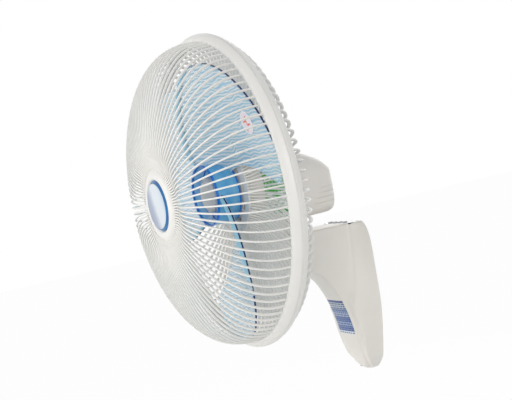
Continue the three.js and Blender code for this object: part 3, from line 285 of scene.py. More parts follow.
def mesh_object(name, vertices, faces, smooth_angle=35):
    """Mesh object from millimetre points, doubles merged, faces outwards, smooth but for edges."""
    mesh = bpy.data.meshes.new(name)
    mesh.from_pydata([Vector(v) * MM for v in vertices], [], faces)
    shape = bmesh.new()
    shape.from_mesh(mesh)
    bmesh.ops.remove_doubles(shape, verts=shape.verts, dist=0.002 * MM)
    bmesh.ops.recalc_face_normals(shape, faces=shape.faces)
    shape.to_mesh(mesh)
    shape.free()
    made = linked(name, mesh)
    soften(made, smooth_angle)
    return made


def soften(piece, smooth_angle=35):
    """Smooth shading that keeps edges sharper than the angle."""
    piece.data.polygons.foreach_set("use_smooth", [True] * len(piece.data.polygons))
    piece.data.set_sharp_from_angle(angle=math.radians(smooth_angle))


def loft(name, rings, smooth_angle=35):
    """Closed skin through rings with equal numbers of points, with flat ends."""
    count = len(rings[0])
    vertices = [point for ring in rings for point in ring]
    faces = [list(range(count))[::-1], [len(vertices) - count + i for i in range(count)]]
    for level in range(len(rings) - 1):
        for i in range(count):
            a, b = level * count + i, level * count + (i + 1) % count
            faces.append((a, b, b + count, a + count))
    return mesh_object(name, vertices, faces, smooth_angle)


def circle(r, h, axis, at, sides):
    """Points of a circle round an axis through a point, h along the axis."""
    ring = []
    for i in range(sides):
        angle = 2 * math.pi * i / sides
        u, v = r * math.cos(angle), r * math.sin(angle)
        point = {"x": (h, u, v), "y": (u, h, v), "z": (u, v, h)}[axis]
        ring.append(tuple(p + q for p, q in zip(point, at)))
    return ring


def lathe(name, profile, axis, at, sides, smooth_angle=35):
    """Round piece through (radius, height) pairs along an axis through a point."""
    return loft(name, [circle(r, h, axis, at, sides) for r, h in profile], smooth_angle)


def rod(name, radius, low, high, axis, at=(0, 0, 0), sides=64, edge=0.0):
    """Round bar along an axis through a point, its rims rounded by edge."""
    profile = [(radius - edge, low), (radius - edge * 0.3, low + edge * 0.3), (radius, low + edge)]
    profile += [(r, low + high - h) for r, h in reversed(profile)]
    return lathe(name, profile if edge else [(radius, low), (radius, high)], axis, at, sides)


def box(name, x, y, z):
    """Plain block between two values on each axis."""
    ring = [(x[0], y[0]), (x[1], y[0]), (x[1], y[1]), (x[0], y[1])]
    return loft(name, [[(a, b, h) for a, b in ring] for h in z])


def carve(piece, *tools, operation="DIFFERENCE"):
    """Cuts the tools from the piece, or joins or intersects them, and removes the tools."""
    for tool in tools:
        modifier = piece.modifiers.new("carve", "BOOLEAN")
        modifier.operation = operation
        modifier.solver = "EXACT"
        modifier.object = tool
        apply_modifiers(piece)
        bpy.data.objects.remove(tool)
    soften(piece)
    return piece


def weld(piece, *tools):
    """Joins the tools to the piece in one closed skin."""
    return carve(piece, *tools, operation="UNION")


def apply_modifiers(piece):
    """Puts the evaluated mesh in place of the piece's own and clears its modifiers."""
    graph = bpy.context.evaluated_depsgraph_get()
    plain = bpy.data.meshes.new_from_object(piece.evaluated_get(graph))
    piece.modifiers.clear()
    piece.data = plain


def paint(piece, material):
    """Gives the piece one material in place of any that it has."""
    piece.data.materials.clear()
    piece.data.materials.append(material)


def fit(piece, material, body, slot, *nodes):
    """Gives the piece its material and body, and hides the CAD nodes that it stands for; slot is not
    used.
    """
    paint(piece, material)
    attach(piece, body)
    if nodes:
        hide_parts(*nodes)


def fillet(distance, radius):
    """Inset of a rounded edge at a distance from its end."""
    return radius - math.sqrt(max(radius**2 - (radius - distance) ** 2, 0)) if distance < radius else 0


levels = [BOTTOM_Z + FOOT_ROUND * (1 - math.cos(a)) for a in np.linspace(0, math.pi / 2, 7)]
levels += list(np.arange(-100, 101, 4.0))
levels += [TOP_Z - TOP_ROUND * (1 - math.sin(a)) for a in np.linspace(0, math.pi / 2, 6)]
rings = []
for z in levels:
    inset = max(fillet(z - BOTTOM_Z, FOOT_ROUND) * 0.8, fillet(TOP_Z - z, TOP_ROUND))
    rings.append(bracket_outline(z, inset, 0, 1e9))
bracket = loft("bracket_moulding", rings)
knuckle_at = (0, TILT_Y, TILT_Z)
carve(bracket, box("nose", (-60, 60), (TILT_Y - 40, TILT_Y), (TILT_Z - 60, TOP_Z + 5)))
weld(bracket, rod("ears", EAR_RADIUS, -ARM_HALF, ARM_HALF, "x", knuckle_at, 96, 1.2))
cavity_levels = [-103, -97, *range(-92, 101, 8), 103.6]
cavity = loft("cavity", [bracket_outline(z, SHELL_WALL, 5, 84) for z in cavity_levels])
fork = box("fork", (-EAR_INNER, EAR_INNER), (TILT_Y - 40, FORK_BACK), (TILT_Z - 40, TOP_Z + 10))
carve(bracket, cavity, fork)
seat_radius = CAP_DISC_RADIUS + GAP
carve(
    bracket,
    rod("bolt hole", BOLT_HOLE, -60, 60, "x", knuckle_at),
    rod("right seat", seat_radius, EAR_SEAT, 60, "x", knuckle_at),
    rod("left seat", seat_radius, -60, -EAR_SEAT, "x", knuckle_at),
)

PANEL_HALF = 36
PANEL_Y = (-17.0, -4.0)
PANEL_THICK = 1.6
GLAND_AT = (-15, -9)
LOCK_Y = -8.5
seat_x = (-PANEL_HALF - GAP, PANEL_HALF + GAP)
seat_y = (PANEL_Y[0] - GAP, PANEL_Y[1] + GAP)
well_x = (3 - PANEL_HALF, PANEL_HALF - 3)
carve(
    bracket,
    box("panel seat", seat_x, seat_y, (TOP_Z - PANEL_THICK - GAP, TOP_Z + 5)),
    box("panel well", well_x, (PANEL_Y[0] + 1.6, PANEL_Y[1] - 1.5), (98, 120)),
    rod("gland hole", 4.5, -130, -80, "z", (*GLAND_AT, 0)),
    rod("lock hole", 4.3, -130, BOTTOM_Z + 2.8, "z", (0, LOCK_Y, 0)),
)
fit(bracket, white_abs, "wall_arm", "white_plastic", "bracket_shell")

# ---------------------------------------------------------------- printed label on the arm
# A thin polyester label wraps the arm's rounded front below the knuckle. It stands for the
# printed one in the photograph, with plain bands and rows of bars and no lettering.

LABEL_TOP = 0.5
LABEL_BOTTOM = -51
LABEL_HALF = 21.5  # round the arm, from the middle
LABEL_PROUD = 0.12
LABEL_THICK = 0.08


def along_front(z, distance):
    """Point on the bracket's skin, measured round the front from its middle, and its normal."""
    outline = np.array(bracket_outline(z, 0, 0, 1e9, per=8))
    middle = len(outline) // 2
    path = outline[middle:] if distance <= 0 else outline[middle::-1]
    steps = np.linalg.norm(np.diff(path, axis=0), axis=1)
    run = np.concatenate([[0], np.cumsum(steps)])
    point = np.array([np.interp(abs(distance), run, path[:, k]) for k in range(3)])
    ahead = np.array([np.interp(abs(distance) + 0.5, run, path[:, k]) for k in range(3)])
    along = ahead - point
    normal = np.array([along[1], -along[0], 0]) * (1 if distance <= 0 else -1)
    return point, -normal / np.linalg.norm(normal)


def wrapped_label(name, rows, columns, at):
    """Thin sheet over a surface; at(u, v) gives a point and its normal."""
    vertices, faces = [], []
    for v in range(rows + 1):
        for u in range(columns + 1):
            point, normal = at(u / columns, v / rows)
            vertices.append(point + normal * LABEL_PROUD)
    for v in range(rows):
        for u in range(columns):
            a = v * (columns + 1) + u
            faces.append((a, a + 1, a + columns + 2, a + columns + 1))
    mesh = bpy.data.meshes.new(name)
    mesh.from_pydata([Vector(p) * MM for p in vertices], [], faces)
    sheet = linked(name, mesh)
    thick = sheet.modifiers.new("sheet", "SOLIDIFY")
    thick.thickness = LABEL_THICK * MM
    thick.offset = 0
    apply_modifiers(sheet)
    soften(sheet, 60)
    return sheet


def printed_label(name, bands, rows_mm, ink, bar_mm, across="X"):
    """Glossy printed film: colour bands over its height, with rows of ink bars, whose length
    and pitch are bar_mm."""
    material, tree, shader, place = new_material(name, {"Roughness": 0.28})
    split = add_node(tree, "ShaderNodeSeparateXYZ", {0: place}).outputs
    low, high = rows_mm
    span = {"Value": split["Z"], "From Min": low * MM, "From Max": high * MM}
    height = add_node(tree, "ShaderNodeMapRange", span).outputs[0]
    ramp = add_node(tree, "ShaderNodeValToRGB", {0: height})
    ramp.color_ramp.interpolation = "CONSTANT"
    stops = ramp.color_ramp.elements
    for i, (stop, colour) in enumerate(bands):
        element = stops[i] if i < 2 else stops.new(stop)
        element.position = stop
        element.color = linear(colour)
    flat = add_node(tree, "ShaderNodeCombineXYZ", {"X": split[across], "Y": split["Z"]}).outputs[0]
    length, pitch = bar_mm
    rows = {"Vector": flat, "Scale": 1.0, "Mortar Size": pitch * 0.3 * MM}
    rows |= {"Color1": (0, 0, 0, 1), "Color2": (0, 0, 0, 1), "Mortar": (1, 1, 1, 1)}
    rows |= {"Brick Width": length * MM, "Row Height": pitch * MM}
    uneven = {"offset": 0.37, "squash": 0.6, "squash_frequency": 3}
    bars = add_node(tree, "ShaderNodeTexBrick", rows, **uneven).outputs["Fac"]
    tones = {0: bars, 6: linear(ink), 7: ramp.outputs[0]}
    inked = add_node(tree, "ShaderNodeMix", tones, data_type="RGBA").outputs[2]
    wire(tree, shader, {"Base Color": inked})
    return material


def on_arm(u, v):
    """Point and normal on the arm's front for the label's share u, v."""
    return along_front(LABEL_BOTTOM + (LABEL_TOP - LABEL_BOTTOM) * v, LABEL_HALF * (1 - 2 * u))


arm_label = wrapped_label("arm_label", 26, 30, on_arm)
arm_print = printed_label(
    "blue and white label film, printed",
    [(0.0, "#DDE2EA"), (0.08, "#6A82B4"), (0.24, "#93A6CA"), (0.36, "#5F79B0"), (0.5, "#A3B3D0")]
    + [(0.64, "#8498C2"), (0.74, "#B4C0CC"), (0.93, "#40599A")],
    (LABEL_BOTTOM, LABEL_TOP),
    "#2C4580",
    (9, 3.4),
)
fit(arm_label, arm_print, "wall_arm", "white_plastic")

# ---------------------------------------------------------------- control panel and buttons
# A smoked acrylic strip lies flush in the bracket's top near the wall, with four pale keys and
# a dark red receiver window. The keys carry small generic signs, pad printed in dark grey.

BUTTONS = {"power_button": "button_power", "speed_button": "button_speed"}
BUTTONS |= {"timer_button": "button_timer", "swing_button": "button_swing"}
BUTTON_RADIUS = 3.6
BUTTON_PITCH = 14
LENS_X = 28
KEY_TOP = TOP_Z + 1.4
COLLAR_RADIUS = BUTTON_RADIUS + 0.9
STEM_RADIUS = 1.6
STEM_END = 97.4
SIGN_DEPTH = 0.17  # how far a sign lies below the key's rim, in its dish
SIGN_THICK = 0.05
key_y = sum(PANEL_Y) / 2

# Smoked cast acrylic: near black, very glossy, a clear reflection.
smoked = moulded_plastic("smoked acrylic, polished", "#2A323B", "#232A32", 0.12, 3, 0.004, 0.3)
# Pale grey ABS keys, satin.
key_grey = moulded_plastic("pale grey ABS keys, satin", "#D5D8DB", "#CBCED2", 0.38)
# Dark red polycarbonate that lets infrared through.
ruby = moulded_plastic("dark red polycarbonate, polished", "#4A1A22", "#3C1219", 0.08, 3, 0.004)
ink_grey = moulded_plastic("dark grey pad print", "#3A4048", "#343A42", 0.5)


def bevel(piece, width_mm, angle=40):
    """Breaks the piece's sharp edges."""
    modifier = piece.modifiers.new("broken edges", "BEVEL")
    modifier.width = width_mm * MM
    modifier.segments = 2
    modifier.limit_method = "ANGLE"
    modifier.angle_limit = math.radians(angle)
    modifier.use_clamp_overlap = True
    apply_modifiers(piece)
    soften(piece)


panel = box("panel_strip", (-PANEL_HALF, PANEL_HALF), PANEL_Y, (TOP_Z - PANEL_THICK, TOP_Z))
key_places = [-LENS_X + BUTTON_PITCH * i for i in range(4)]
for x in [*key_places, LENS_X]:
    carve(panel, rod("key hole", BUTTON_RADIUS + GAP, 90, 120, "z", (x, key_y, 0), 48))
bevel(panel, 0.25, 60)
fit(panel, smoked, "wall_arm", "smoked_panel", "control_panel")


def key(name, x, top, edge_round=0.7):
    """Round key with a dished top, a collar under the panel and a stem."""
    under = TOP_Z - PANEL_THICK - GAP
    profile = [(STEM_RADIUS, STEM_END), (STEM_RADIUS, under - 1.2), (COLLAR_RADIUS, under - 1.2)]
    profile += [(COLLAR_RADIUS, under), (BUTTON_RADIUS, under), (BUTTON_RADIUS, top - 0.7)]
    profile += [(BUTTON_RADIUS - 0.2, top - 0.25), (BUTTON_RADIUS - edge_round, top)]
    profile += [(BUTTON_RADIUS - 1.4, top - 0.05), (1.0, top - 0.25)]
    return lathe(name, profile, "z", (x, key_y, 0), 40, 50)


def printed_sign(name, x, strokes):
    """Flat marks of ink on a key's top; each stroke is a closed outline in mm."""
    vertices, faces = [], []
    for stroke in strokes:
        start = len(vertices)
        vertices += [(x + u, key_y + v, KEY_TOP - SIGN_DEPTH) for u, v in stroke]
        faces.append(list(range(start, len(vertices))))
    sign = mesh_object(name, vertices, faces)
    thick = sign.modifiers.new("ink", "SOLIDIFY")
    thick.thickness = SIGN_THICK * MM
    apply_modifiers(sign)
    return sign


def arc(radius, width, start, end, steps=14):
    """Outline of an arc shaped stroke, angles in degrees."""
    angles = np.radians(np.linspace(start, end, steps))
    outer, inner = radius + width / 2, radius - width / 2
    outline = [(outer * math.cos(a), outer * math.sin(a)) for a in angles]
    return outline + [(inner * math.cos(a), inner * math.sin(a)) for a in reversed(angles)]


def bar(x0, y0, x1, y1, width=0.3):
    """Outline of a straight stroke."""
    along = Vector((x1 - x0, y1 - y0)).normalized() * width / 2
    u, v = -along.y, along.x
    return [(x0 + u, y0 + v), (x0 - u, y0 - v), (x1 - u, y1 - v), (x1 + u, y1 + v)]


SIGNS = {
    "power_button": [arc(1.3, 0.3, -230, 50), bar(0, 0.5, 0, 1.7)],
    "speed_button": [bar(-1.2, -0.9, -1.2, -0.2), bar(0, -0.9, 0, 0.4), bar(1.2, -0.9, 1.2, 1.1)],
    "timer_button": [arc(1.4, 0.28, 0, 355, 30), bar(0, 0, 0, 0.95), bar(0, 0, 0.7, 0)],
    "swing_button": [arc(1.5, 0.3, 20, 160), bar(-1.5, -0.7, -1.0, 0.4), bar(1.5, -0.7, 1.0, 0.4)],
}
for x, (body, node) in zip(key_places, BUTTONS.items()):
    key_cap = key(f"{node}_key", x, KEY_TOP)
    fit(key_cap, key_grey, body, "button_plastic", node)
    fit(printed_sign(f"{node}_sign", x, SIGNS[body]), ink_grey, body, "button_plastic")
window = key("receiver_window", LENS_X, TOP_Z, 0.9)
fit(window, ruby, "wall_arm", "receiver_plastic", "receiver_lens")

# ---------------------------------------------------------------- back cover and wall plate
# A flat cover of grained grey ABS closes the bracket's back. The plate is 1.6 mm zinc plated
# steel, pressed with two hooks and a tongue; one screw from below locks the bracket on it.

cover_abs = moulded_plastic("grey white ABS, grained", "#D8D5CE", "#CFCCC4", 0.52, 1.3, 0.05)


def worked_metal(name, colour, roughness, streak_mm=0.8, axis_stretch=(1, 1, 12)):
    """Rolled, drawn or cast metal: one colour, its gloss slightly streaked by the working. Where
    axis_stretch is 12 a streak is streak_mm broad, and it is drawn out along axes left at 1."""
    surface = {"Metallic": 1.0, "Base Color": linear(colour)}
    material, tree, shader, place = new_material(name, surface)
    stretch = {"Vector": place, "Scale": axis_stretch}
    drawn = add_node(tree, "ShaderNodeMapping", stretch).outputs[0]
    streaks = {"Vector": drawn, "Scale": 1 / (streak_mm * 12 * MM), "Detail": 5.0}
    streak = add_node(tree, "ShaderNodeTexNoise", streaks).outputs["Fac"]
    span = {"Value": streak, "To Min": roughness - 0.1, "To Max": roughness + 0.12}
    gloss = add_node(tree, "ShaderNodeMapRange", span).outputs[0]
    bumps = {"Height": streak, "Distance": 0.02 * MM}
    relief = add_node(tree, "ShaderNodeBump", bumps).outputs[0]
    wire(tree, shader, {"Roughness": gloss, "Normal": relief})
    return material


zinc = worked_metal("zinc plated steel, rolled", "#C3C7CB", 0.36)
HOLES = [(-22, -52), (22, -52), (-22, 46), (22, 46)]
SCREW_X = 17
SCREW_Z = -20
HOOK_X = 22
HOOK_Z = 60
COVER_Y = (-4.4, -1.9)

inside_levels = [-96, -92, *range(-84, 99, 8), 99]
cover = loft("back_cover_sheet", [bracket_outline(z, 3.6, 5, 84) for z in inside_levels])
carve(cover, box("cover slab", (-70, 70), COVER_Y, (-96, 99)), operation="INTERSECT")
hooks = [(x - 7, x + 7) for x in (-HOOK_X, HOOK_X)]
carve(cover, *[box("hook slot", x, (-9, 2), (HOOK_Z - 2, HOOK_Z + 9)) for x in hooks])
carve(cover, box("tongue slot", (-9, 9), (-9, 2), (-87, -80)))
for x in (-SCREW_X, SCREW_X):
    sink = rod("screw sink", 3.7, -3.1, 2, "y", (x, 0, SCREW_Z), 32)
    carve(cover, sink, rod("screw hole", 2.0, -9, 2, "y", (x, 0, SCREW_Z), 32))
bevel(cover, 0.4)
fit(cover, cover_abs, "wall_arm", "cover_plastic", "back_cover")

PLATE_HALF = (30, 75)
PLATE_ROUND = 5
PLATE_THICK = 1.6
corners = []
for sx, sz, start in ((1, 1, 0), (-1, 1, 90), (-1, -1, 180), (1, -1, 270)):
    for a in np.radians(np.linspace(start, start + 90, 7)):
        x = sx * (PLATE_HALF[0] - PLATE_ROUND) + PLATE_ROUND * math.cos(a)
        corners.append((x, sz * (PLATE_HALF[1] - PLATE_ROUND) + PLATE_ROUND * math.sin(a)))
plate = loft("wall_plate_pressing", [[(x, y, z) for x, z in corners] for y in (-PLATE_THICK, 0)])
weld(plate, box("toe", (-9, 9), (-PLATE_THICK, 0), (-84, -70)))
weld(plate, box("tongue", (-8, 8), (-16, -0.8), (-84, PLATE_THICK - 84)))
for x in (-HOOK_X, HOOK_X):
    shelf = box("hook", (x - 6, x + 6), (-8.6, -0.8), (HOOK_Z, HOOK_Z + 2))
    weld(plate, shelf, box("lip", (x - 6, x + 6), (-8.6, -7), (HOOK_Z, HOOK_Z + 8)))
for x, z in HOLES:
    carve(plate, rod("screw hole", 2.6, -6, 2, "y", (x, 0, z), 32))
for x in (-SCREW_X, SCREW_X):
    carve(plate, rod("relief", 4.4, -6, 2, "y", (x, 0, SCREW_Z), 40))
carve(plate, rod("lock hole", 2.3, -90, -78, "z", (0, LOCK_Y, 0), 32))
bevel(plate, 0.25)
fit(plate, zinc, "wall_arm", "steel", "wall_plate")


def pan_screw(name, radius, head_radius, ends, axis, at, cross=1.1):
    """Pan head screw; ends are the head's top, its seat and the tip along the axis."""
    top, seat, tip = ends
    sign = 1 if tip > top else -1
    rise = abs(seat - top)
    profile = [(radius * 0.6, tip), (radius, tip - sign * 0.6), (radius, seat), (head_radius, seat)]
    profile += [(head_radius, top + sign * rise * 0.55), (head_radius * 0.8, top + sign * rise * 0.12)]
    profile += [(head_radius * 0.4, top)]
    screw = lathe(name, profile, axis, at, 32, 40)
    depth = sorted((top - sign * 1, top + sign * rise * 0.6))
    slot = head_radius * 0.62
    for wide, high in ((slot, cross), (cross, slot)):
        u, v = (-wide / 2, wide / 2), (-high / 2, high / 2)
        spans = {"x": (depth, u, v), "y": (u, depth, v), "z": (u, v, depth)}[axis]
        moved = [(low + q, high + q) for (low, high), q in zip(spans, at)]
        carve(screw, box("cross", *moved))
    return screw


lock = pan_screw("lock_screw_pan", 2, 4, (BOTTOM_Z + 0.2, BOTTOM_Z + 2.5, -78), "z", (0, LOCK_Y, 0))
fit(lock, zinc, "wall_arm", "steel", "lock_screw")
for x, node in ((-SCREW_X, "cover_screw_left"), (SCREW_X, "cover_screw_right")):
    screw = pan_screw(node + "_pan", 1.7, 3.4, (-1.9, -2.9, -15.5), "y", (x, 0, SCREW_Z), 0.9)
    fit(screw, zinc, "wall_arm", "steel", node)

# Pale grey EPDM sleeve: dull, slightly uneven.
rubber = moulded_plastic("pale grey EPDM rubber, moulded", "#C9C6C0", "#BEBBB5", 0.72, 1.5, 0.06)
gland = rod("cord_gland_sleeve", 4.2, BOTTOM_Z + 1, -90, "z", (*GLAND_AT, 0), 40, 0.6)
carve(gland, rod("gland bore", 2.7, -120, -70, "z", (*GLAND_AT, 0), 40))
fit(gland, rubber, "wall_arm", "rubber", "cord_gland")

# ---------------------------------------------------------------- tilt knuckle
# The head tilts between the fork's ears on one clamped bolt. Two pressed in caps of the same
# white ABS hide the bolt's head and nut; the ring of shadow round them is their running gap.

cap_inner = EAR_SEAT + 4.3
cap_outer = ARM_HALF + 0.6
cap_edge = [(CAP_DISC_RADIUS, cap_inner), (CAP_DISC_RADIUS, cap_outer - 0.9)]
cap_edge += [(12.4, cap_outer - 0.6), (11.8, cap_outer - 0.3), (10.6, cap_outer)]
cap_edge += [(8.5, cap_outer - 0.05), (4, cap_outer - 0.4), (0.5, cap_outer - 0.5)]
for side, node in ((-1, "pivot_cap_left"), (1, "pivot_cap_right")):
    disc = lathe(node + "_disc", [(r, side * x) for r, x in cap_edge], "x", knuckle_at, 72)
    fit(disc, white_abs, "wall_arm", "white_plastic", node)
for node in ("tilt_bolt", "tilt_nut"):
    paint(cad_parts[node], zinc)
for node in ("friction_washer_left", "friction_washer_right"):
    paint(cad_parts[node], rubber)

# ---------------------------------------------------------------- neck
# A solid moulding of glass filled nylon in the bracket's white: a round tongue between the
# ears, a column that leans back to the swivel, and a flange under the motor housing's floor.

HEAD_Z = 185
SWING_Y = -106
LEAN = SWING_Y - TILT_Y
HOUSING_RADIUS = 57
FLANGE_TOP = HEAD_Z - HOUSING_RADIUS - GAP - TILT_Z
COLLAR_TOP = FLANGE_TOP + 2.5 + 1.8
white_nylon = moulded_plastic("white filled nylon, moulded", "#E9E6E0", "#E0DDD5", 0.44, 1.0, 0.04)

neck = rod("neck_moulding", EAR_RADIUS - 0.5, -13, 13, "x", knuckle_at, 96, 0.8)
column_half = curve([(0, 12), (17, 12), (24, 13), (31, 16), (34, 19)])
column_lean = curve([(0, 0), (17, 0.2), (24, 0.55), (31, 0.9), (34, 1)])
turn = np.linspace(0, 2 * math.pi, 48, endpoint=False)
rings = []
for z in [0, *np.linspace(10, 33.6, 16)]:
    half = column_half(z)
    across = min(half, 12 + max(z - 16, 0) * 0.5)
    y = TILT_Y + column_lean(z) * LEAN
    rings.append([(across * math.cos(a), y + half * math.sin(a), TILT_Z + z) for a in turn])
post_axis = (0, SWING_Y, TILT_Z)
weld(
    neck,
    loft("column", rings),
    rod("flange", 19, 33.4, FLANGE_TOP, "z", post_axis, 72, 1.0),
    rod("collar", 12, FLANGE_TOP - 2, COLLAR_TOP, "z", post_axis, 64, 0.3),
)
post_bore = rod("post bore", 5.3, FLANGE_TOP - 16.3, 60, "z", post_axis, 40)
carve(neck, post_bore, rod("bolt hole", BOLT_HOLE, -60, 60, "x", knuckle_at, 40))
fit(neck, white_nylon, "neck", "white_plastic", "neck")

# ---------------------------------------------------------------- motor housing
# The rear housing is a deep ABS moulding over a flat floor. It draws in to the back, has four
# vent slots low on each side, and one screw from the back holds it on the swivel housing.

RIM_Y = -192  # plane of the guard's rim, where the head's distances start
HOUSING_WALL = 2.5
HOUSING_FRONT = 44
HOUSING_BACK = 167
BACK_ROUND = 3.0
STUD_Z = -10
VENT_TOP = -19.5
VENT_PITCH = 6.9
VENT_HALF = 0.45
VENT_DEPTH = 1.1
VENT_FRONTS = (130, 128, 122, 117)
VENT_BACK = 161


def drawn_in(*pairs):
    """Radius over the distance from the rim plane; pairs are ahead of the back, drawn in."""
    return curve(
        [(HOUSING_FRONT, HOUSING_RADIUS)]
        + [(HOUSING_BACK - ahead, HOUSING_RADIUS - drop) for ahead, drop in pairs]
    )


housing_top = drawn_in((97, 2.5), (75, 8), (55, 16), (35, 25), (18, 33.5), (7, 44), (0, 57))
housing_half = drawn_in((75, 1), (35, 5.5), (17, 12.5), (6, 22), (0, 33))
housing_low = drawn_in((27, 0), (9, 0.8), (3, 3.5), (0, 9))


def housing_point(y, angle, inset=0.0):
    """Point on the housing's skin at a distance from the rim plane and an angle round it."""
    c, s = math.cos(angle), math.sin(angle)
    behind = min(max((y - HOUSING_FRONT) / 26, 0), 1)
    square = 1 - behind * (0.5 if s < 0 else 0.06)
    x = math.copysign(abs(c) ** square, c) * (housing_half(y) - inset)
    reach = max((housing_low(y) if s < 0 else housing_top(y)) - inset, 1)
    return np.array([x, RIM_Y + y, HEAD_Z + math.copysign(abs(s) ** square, s) * reach])


def housing_ring(y, inset=0.0, count=112):
    """Points of the housing's skin round the axis at a distance from the rim plane."""
    return [tuple(housing_point(y, 2 * math.pi * i / count, inset)) for i in range(count)]


stations = [HOUSING_FRONT, 45, *np.arange(48, 160, 4.0), 161, 162.5]
stations += [HOUSING_BACK - BACK_ROUND * (1 - math.sin(a)) for a in np.linspace(0, math.pi / 2, 7)]
rings = []
for y in stations:
    inset = fillet(HOUSING_BACK - y, BACK_ROUND) + fillet(y - HOUSING_FRONT, 0.8)
    rings.append(housing_ring(y, inset))
housing = loft("motor_housing_shell", rings)
hollow = [[(x, y - 5, z) for x, y, z in housing_ring(HOUSING_FRONT, HOUSING_WALL)]]
for y in [HOUSING_FRONT, *np.arange(52, 157, 8.0), 160, 164.5]:
    hollow.append(housing_ring(y, HOUSING_WALL))
stud_at = (0, RIM_Y, HEAD_Z + STUD_Z)
floor_hole = rod("floor hole", 12.6, -80, -40, "z", (0, SWING_Y, HEAD_Z), 64)
carve(housing, loft("hollow", hollow), floor_hole)
weld(housing, rod("long boss", 5, 78.6, 165, "y", stud_at, 40))
stud_hole = rod("stud hole", 2.3, 70, 180, "y", stud_at, 32)
carve(housing, stud_hole, rod("head hole", 4.3, 164, 180, "y", stud_at, 40))


def skin_at(y, z):
    """Half width of the housing's skin at a distance from the rim plane and a height."""
    low, high = -math.pi / 2 + 1e-3, math.pi / 2 - 1e-3
    for _ in range(40):
        middle = (low + high) / 2
        if housing_point(y, middle)[2] - HEAD_Z < z:
            low = middle
        else:
            high = middle
    return housing_point(y, (low + high) / 2)[0]


# The louvres are shallow grooves that follow the skin and run out at the back.
for side in (-1, 1):
    for i, front in enumerate(VENT_FRONTS):
        z = VENT_TOP - VENT_PITCH * i
        rings = []
        for y in np.linspace(front, VENT_BACK, 12):
            skin = skin_at(y, z)
            rows = [(skin - VENT_DEPTH, -VENT_HALF), (skin + 3, -VENT_HALF), (skin + 3, VENT_HALF)]
            rows += [(skin - VENT_DEPTH, VENT_HALF)]
            rings.append([(side * x, RIM_Y + y, HEAD_Z + z + rise) for x, rise in rows])
        carve(housing, loft("louvre", rings))
fit(housing, white_abs, "head", "white_plastic", "motor_housing")

screw = pan_screw("housing_screw_pan", 2, 3.9, (166.4, 164.3, 74), "y", stud_at, 1.2)
fit(screw, zinc, "head", "steel", "housing_screw")

# The printed label on the housing's right side, seen through the blades: green bars and a
# teal corner on white film, without lettering.
SIDE_LABEL_Y = (45, 94)
SIDE_LABEL_Z = (-50, 37)


def on_housing(u, v):
    """Point and normal on the housing's right flank for the label's share u, v."""
    y = SIDE_LABEL_Y[0] + (SIDE_LABEL_Y[1] - SIDE_LABEL_Y[0]) * u
    z = SIDE_LABEL_Z[0] + (SIDE_LABEL_Z[1] - SIDE_LABEL_Z[0]) * v

    def at(yy, zz):
        return np.array([skin_at(yy, zz), RIM_Y + yy, HEAD_Z + zz])

    point = at(y, z)
    normal = np.cross(at(y + 0.5, z) - point, at(y, z + 0.5) - point)
    return point, normal / np.linalg.norm(normal)


side_label = wrapped_label("side_label", 30, 20, on_housing)
side_print = printed_label(
    "green and white label film, printed",
    [(0.0, "#F2F5F2"), (0.1, "#2FA52F"), (0.15, "#F2F5F2"), (0.34, "#2FA52F"), (0.39, "#F2F5F2")]
    + [(0.43, "#2FA52F"), (0.55, "#F2F5F2"), (0.57, "#2FA52F"), (0.63, "#F2F5F2")]
    + [(0.7, "#2FA52F"), (0.8, "#56C3CA"), (0.93, "#2FA52F")],
    (HEAD_Z + SIDE_LABEL_Z[0], HEAD_Z + SIDE_LABEL_Z[1]),
    "#A9C9B4",
    (8, 4.4),
    "Y",
)
fit(side_label, side_print, "head", "white_plastic")

# ---------------------------------------------------------------- motor front cover
# A round cover of the same white ABS in front of the motor. Its nose passes through the rear
# guard and carries the guard nut; ten slots round the nose let air to the motor.

REAR_PLATE_FACE = 20
REAR_PLATE_THICK = 4
COVER_FACE = REAR_PLATE_FACE + REAR_PLATE_THICK + GAP
NECK_TUBE = 19.9
SLOT_COUNT = 10
SLOT_INNER = 40
SLOT_OUTER = 46
SLOT_SPREAD = 9  # degrees each way from a slot's middle
SLOT_FIRST = 18  # the first slot's angle
FAN_AT = (0, RIM_Y, HEAD_Z)


def shape_tree(name, sizes):
    """Empty geometry tree with the given named inputs, its inputs and its output node."""
    tree = bpy.data.node_groups.new(name, "GeometryNodeTree")
    for label, kind in {"Geometry": "Geometry", **sizes}.items():
        tree.interface.new_socket(label, in_out="INPUT", socket_type="NodeSocket" + kind)
    tree.interface.new_socket("Geometry", in_out="OUTPUT", socket_type="NodeSocketGeometry")
    return tree, add_node(tree, "NodeGroupInput").outputs, add_node(tree, "NodeGroupOutput")


def run_tree(name, source, tree, sizes):
    """Runs a tree on an object's mesh, and returns the result as a plain mesh object."""
    made = bpy.data.objects.new(name, source.data)
    modifier = made.modifiers.new("shape", "NODES")
    modifier.node_group = tree
    for item in tree.interface.items_tree:
        if item.in_out == "INPUT" and item.name in sizes:
            modifier[item.identifier] = sizes[item.name]
    scene.collection.objects.link(made)
    bpy.data.objects.remove(source)
    apply_modifiers(made)
    soften(made)
    return made


def finish_tree(tree, given, result, instances):
    """Realizes the copies and gives them the tree's material."""
    real = add_node(tree, "GeometryNodeRealizeInstances", {"Geometry": instances}).outputs[0]
    coat = {"Geometry": real, "Material": given["Material"]}
    painted = add_node(tree, "GeometryNodeSetMaterial", coat).outputs[0]
    wire(tree, result, {"Geometry": painted})


